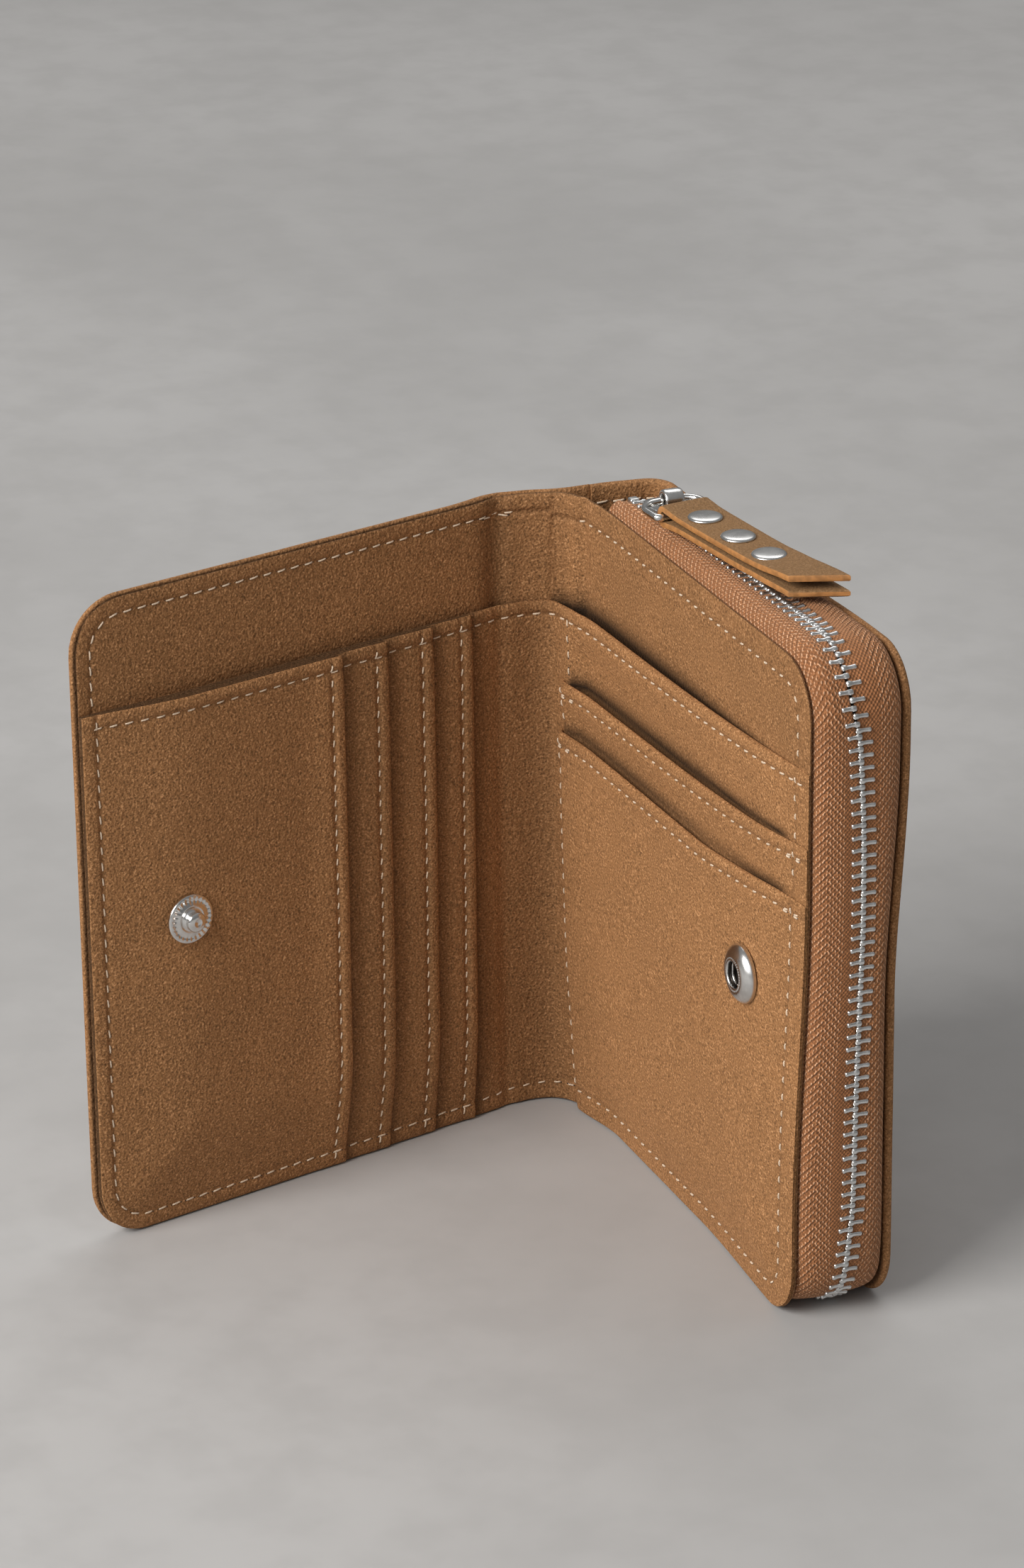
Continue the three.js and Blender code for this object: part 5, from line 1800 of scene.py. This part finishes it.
for sign, side, body in ((-1, "front", "coin_section"), (1, "rear", "rear_shell")):
    y0, y1 = sorted((RIDGE_Y + sign * 1.95, RIDGE_Y + sign * 3.6))
    zipper_stop(f"zipper_top_stop_{side}", body, TEETH_X0 - 1.75, TEETH_X0 - 0.15, y0, y1,
                HEIGHT + 0.85, HEIGHT + 2.35)
stop_x = float(on_path(PATH - 2.3, 0.0)[0])
zipper_stop("zipper_bottom_stop", "coin_section", stop_x - 1.1, stop_x + 1.1,
            RIDGE_Y - 2.0, RIDGE_Y + 2.0, 0.55, 2.05)


# ---- stage, in metres ------------------------------------------------------------------------
def floor_material():
    n = Surface("floor_pale")
    where = n.coords()
    wide = n.noise(where, scale=5.0, detail=4.0, rough=0.6)
    spots = n.noise(where, scale=60.0, detail=3.0, rough=0.6)
    share = n.ease(wide, start=0.3, end=0.7)
    colour = n.mix(share, (0.43, 0.42, 0.41), (0.50, 0.49, 0.48))
    share = n.ease(spots, start=0.35, end=0.7, high=0.35)
    colour = n.mix(share, colour, (0.39, 0.38, 0.37))
    return n.finish({"Base Color": colour, "Roughness": 0.8, "Specular IOR Level": 0.25})


material = floor_material()
mesh = bpy.data.meshes.new("floor")
mesh.from_pydata([(-4, -4, 0), (4, -4, 0), (4, 4, 0), (-4, 4, 0)], [], [(0, 1, 2, 3)])
mesh.materials.append(material)
floor = add_object("floor", mesh)

scene = bpy.context.scene


def studio_world():
    """Grey at the horizon, rising to white overhead."""
    world = bpy.data.worlds.new("studio")
    scene.world = world
    world.use_nodes = True
    n = Nodes(world.node_tree)
    height = n.split(n.coords("Generated"))[2]
    # height from -0.1 to 0.9 gives a share from 0.35 to 1
    share = n.add("MapRange", {0: height, 1: -0.1, 2: 0.9, 3: 0.35, 4: 1.0}).outputs[0]
    colour = n.mix(share, (0.30, 0.29, 0.28), (1.0, 1.0, 1.0))
    n.set(n.tree.nodes["Background"], {0: colour, 1: 0.27})


def area(name, azimuth, elevation, distance, size, power, colour):
    """An area light on a sphere round the wallet, angles in degrees."""
    light = bpy.data.lights.new(name, "AREA")
    light.shape = "RECTANGLE"
    light.size, light.size_y = size
    light.energy = power
    light.color = colour
    lamp = bpy.data.objects.new(name, light)
    turn, rise = math.radians(azimuth), math.radians(elevation)
    lamp.location = (
        distance * math.cos(turn) * math.cos(rise),
        distance * math.sin(turn) * math.cos(rise),
        distance * math.sin(rise),
    )
    position = np.array([
        distance * math.cos(turn) * math.cos(rise),
        distance * math.sin(turn) * math.cos(rise),
        distance * math.sin(rise),
    ])
    lamp.rotation_mode = "QUATERNION"
    aim = np.array([0, 0, 0.05]) - position
    lamp.rotation_quaternion = Vector(aim).to_track_quat("-Z", "Y")
    scene.collection.objects.link(lamp)


studio_world()
area("key", azimuth=-73, elevation=37, distance=1.7, size=(1.0, 0.85), power=30.0,
     colour=(1.0, 0.985, 0.965))
area("fill", azimuth=-35, elevation=32, distance=1.8, size=(1.2, 1.0), power=3.0,
     colour=(0.96, 0.98, 1.0))
area("back", azimuth=150, elevation=55, distance=1.8, size=(1.4, 0.9), power=7.0,
     colour=(1, 1, 1))


def add_camera(azimuth, pitch, roll, location):
    """A camera looking down by pitch from the azimuth, angles in degrees."""
    azimuth, pitch, roll = (math.radians(v) for v in (azimuth, pitch, roll))
    back = np.array([
        math.cos(azimuth) * math.cos(pitch), math.sin(azimuth) * math.cos(pitch), math.sin(pitch)
    ])
    level_right = np.array([-math.sin(azimuth), math.cos(azimuth), 0.0])
    level_up = np.cross(back, level_right)
    right = math.cos(roll) * level_right + math.sin(roll) * level_up
    up = -math.sin(roll) * level_right + math.cos(roll) * level_up
    lens = bpy.data.cameras.new("camera")
    lens.sensor_width = 36.0
    lens.sensor_fit = "AUTO"
    lens.lens = 129.2875226
    lens.shift_x, lens.shift_y = 0.0018, -0.0036
    lens.clip_start, lens.clip_end = 0.05, 20.0
    camera = bpy.data.objects.new("camera", lens)
    rotation = Matrix([list(right), list(up), list(back)]).transposed()
    camera.matrix_world = Matrix.Translation(location) @ rotation.to_4x4()
    scene.collection.objects.link(camera)
    scene.camera = camera


add_camera(azimuth=-22.12, pitch=22.71, roll=-0.68, location=(0.752165, -0.297238, 0.420404))
scene.view_settings.view_transform = "Standard"
scene.view_settings.look = "None"

bpy.context.view_layer.update()
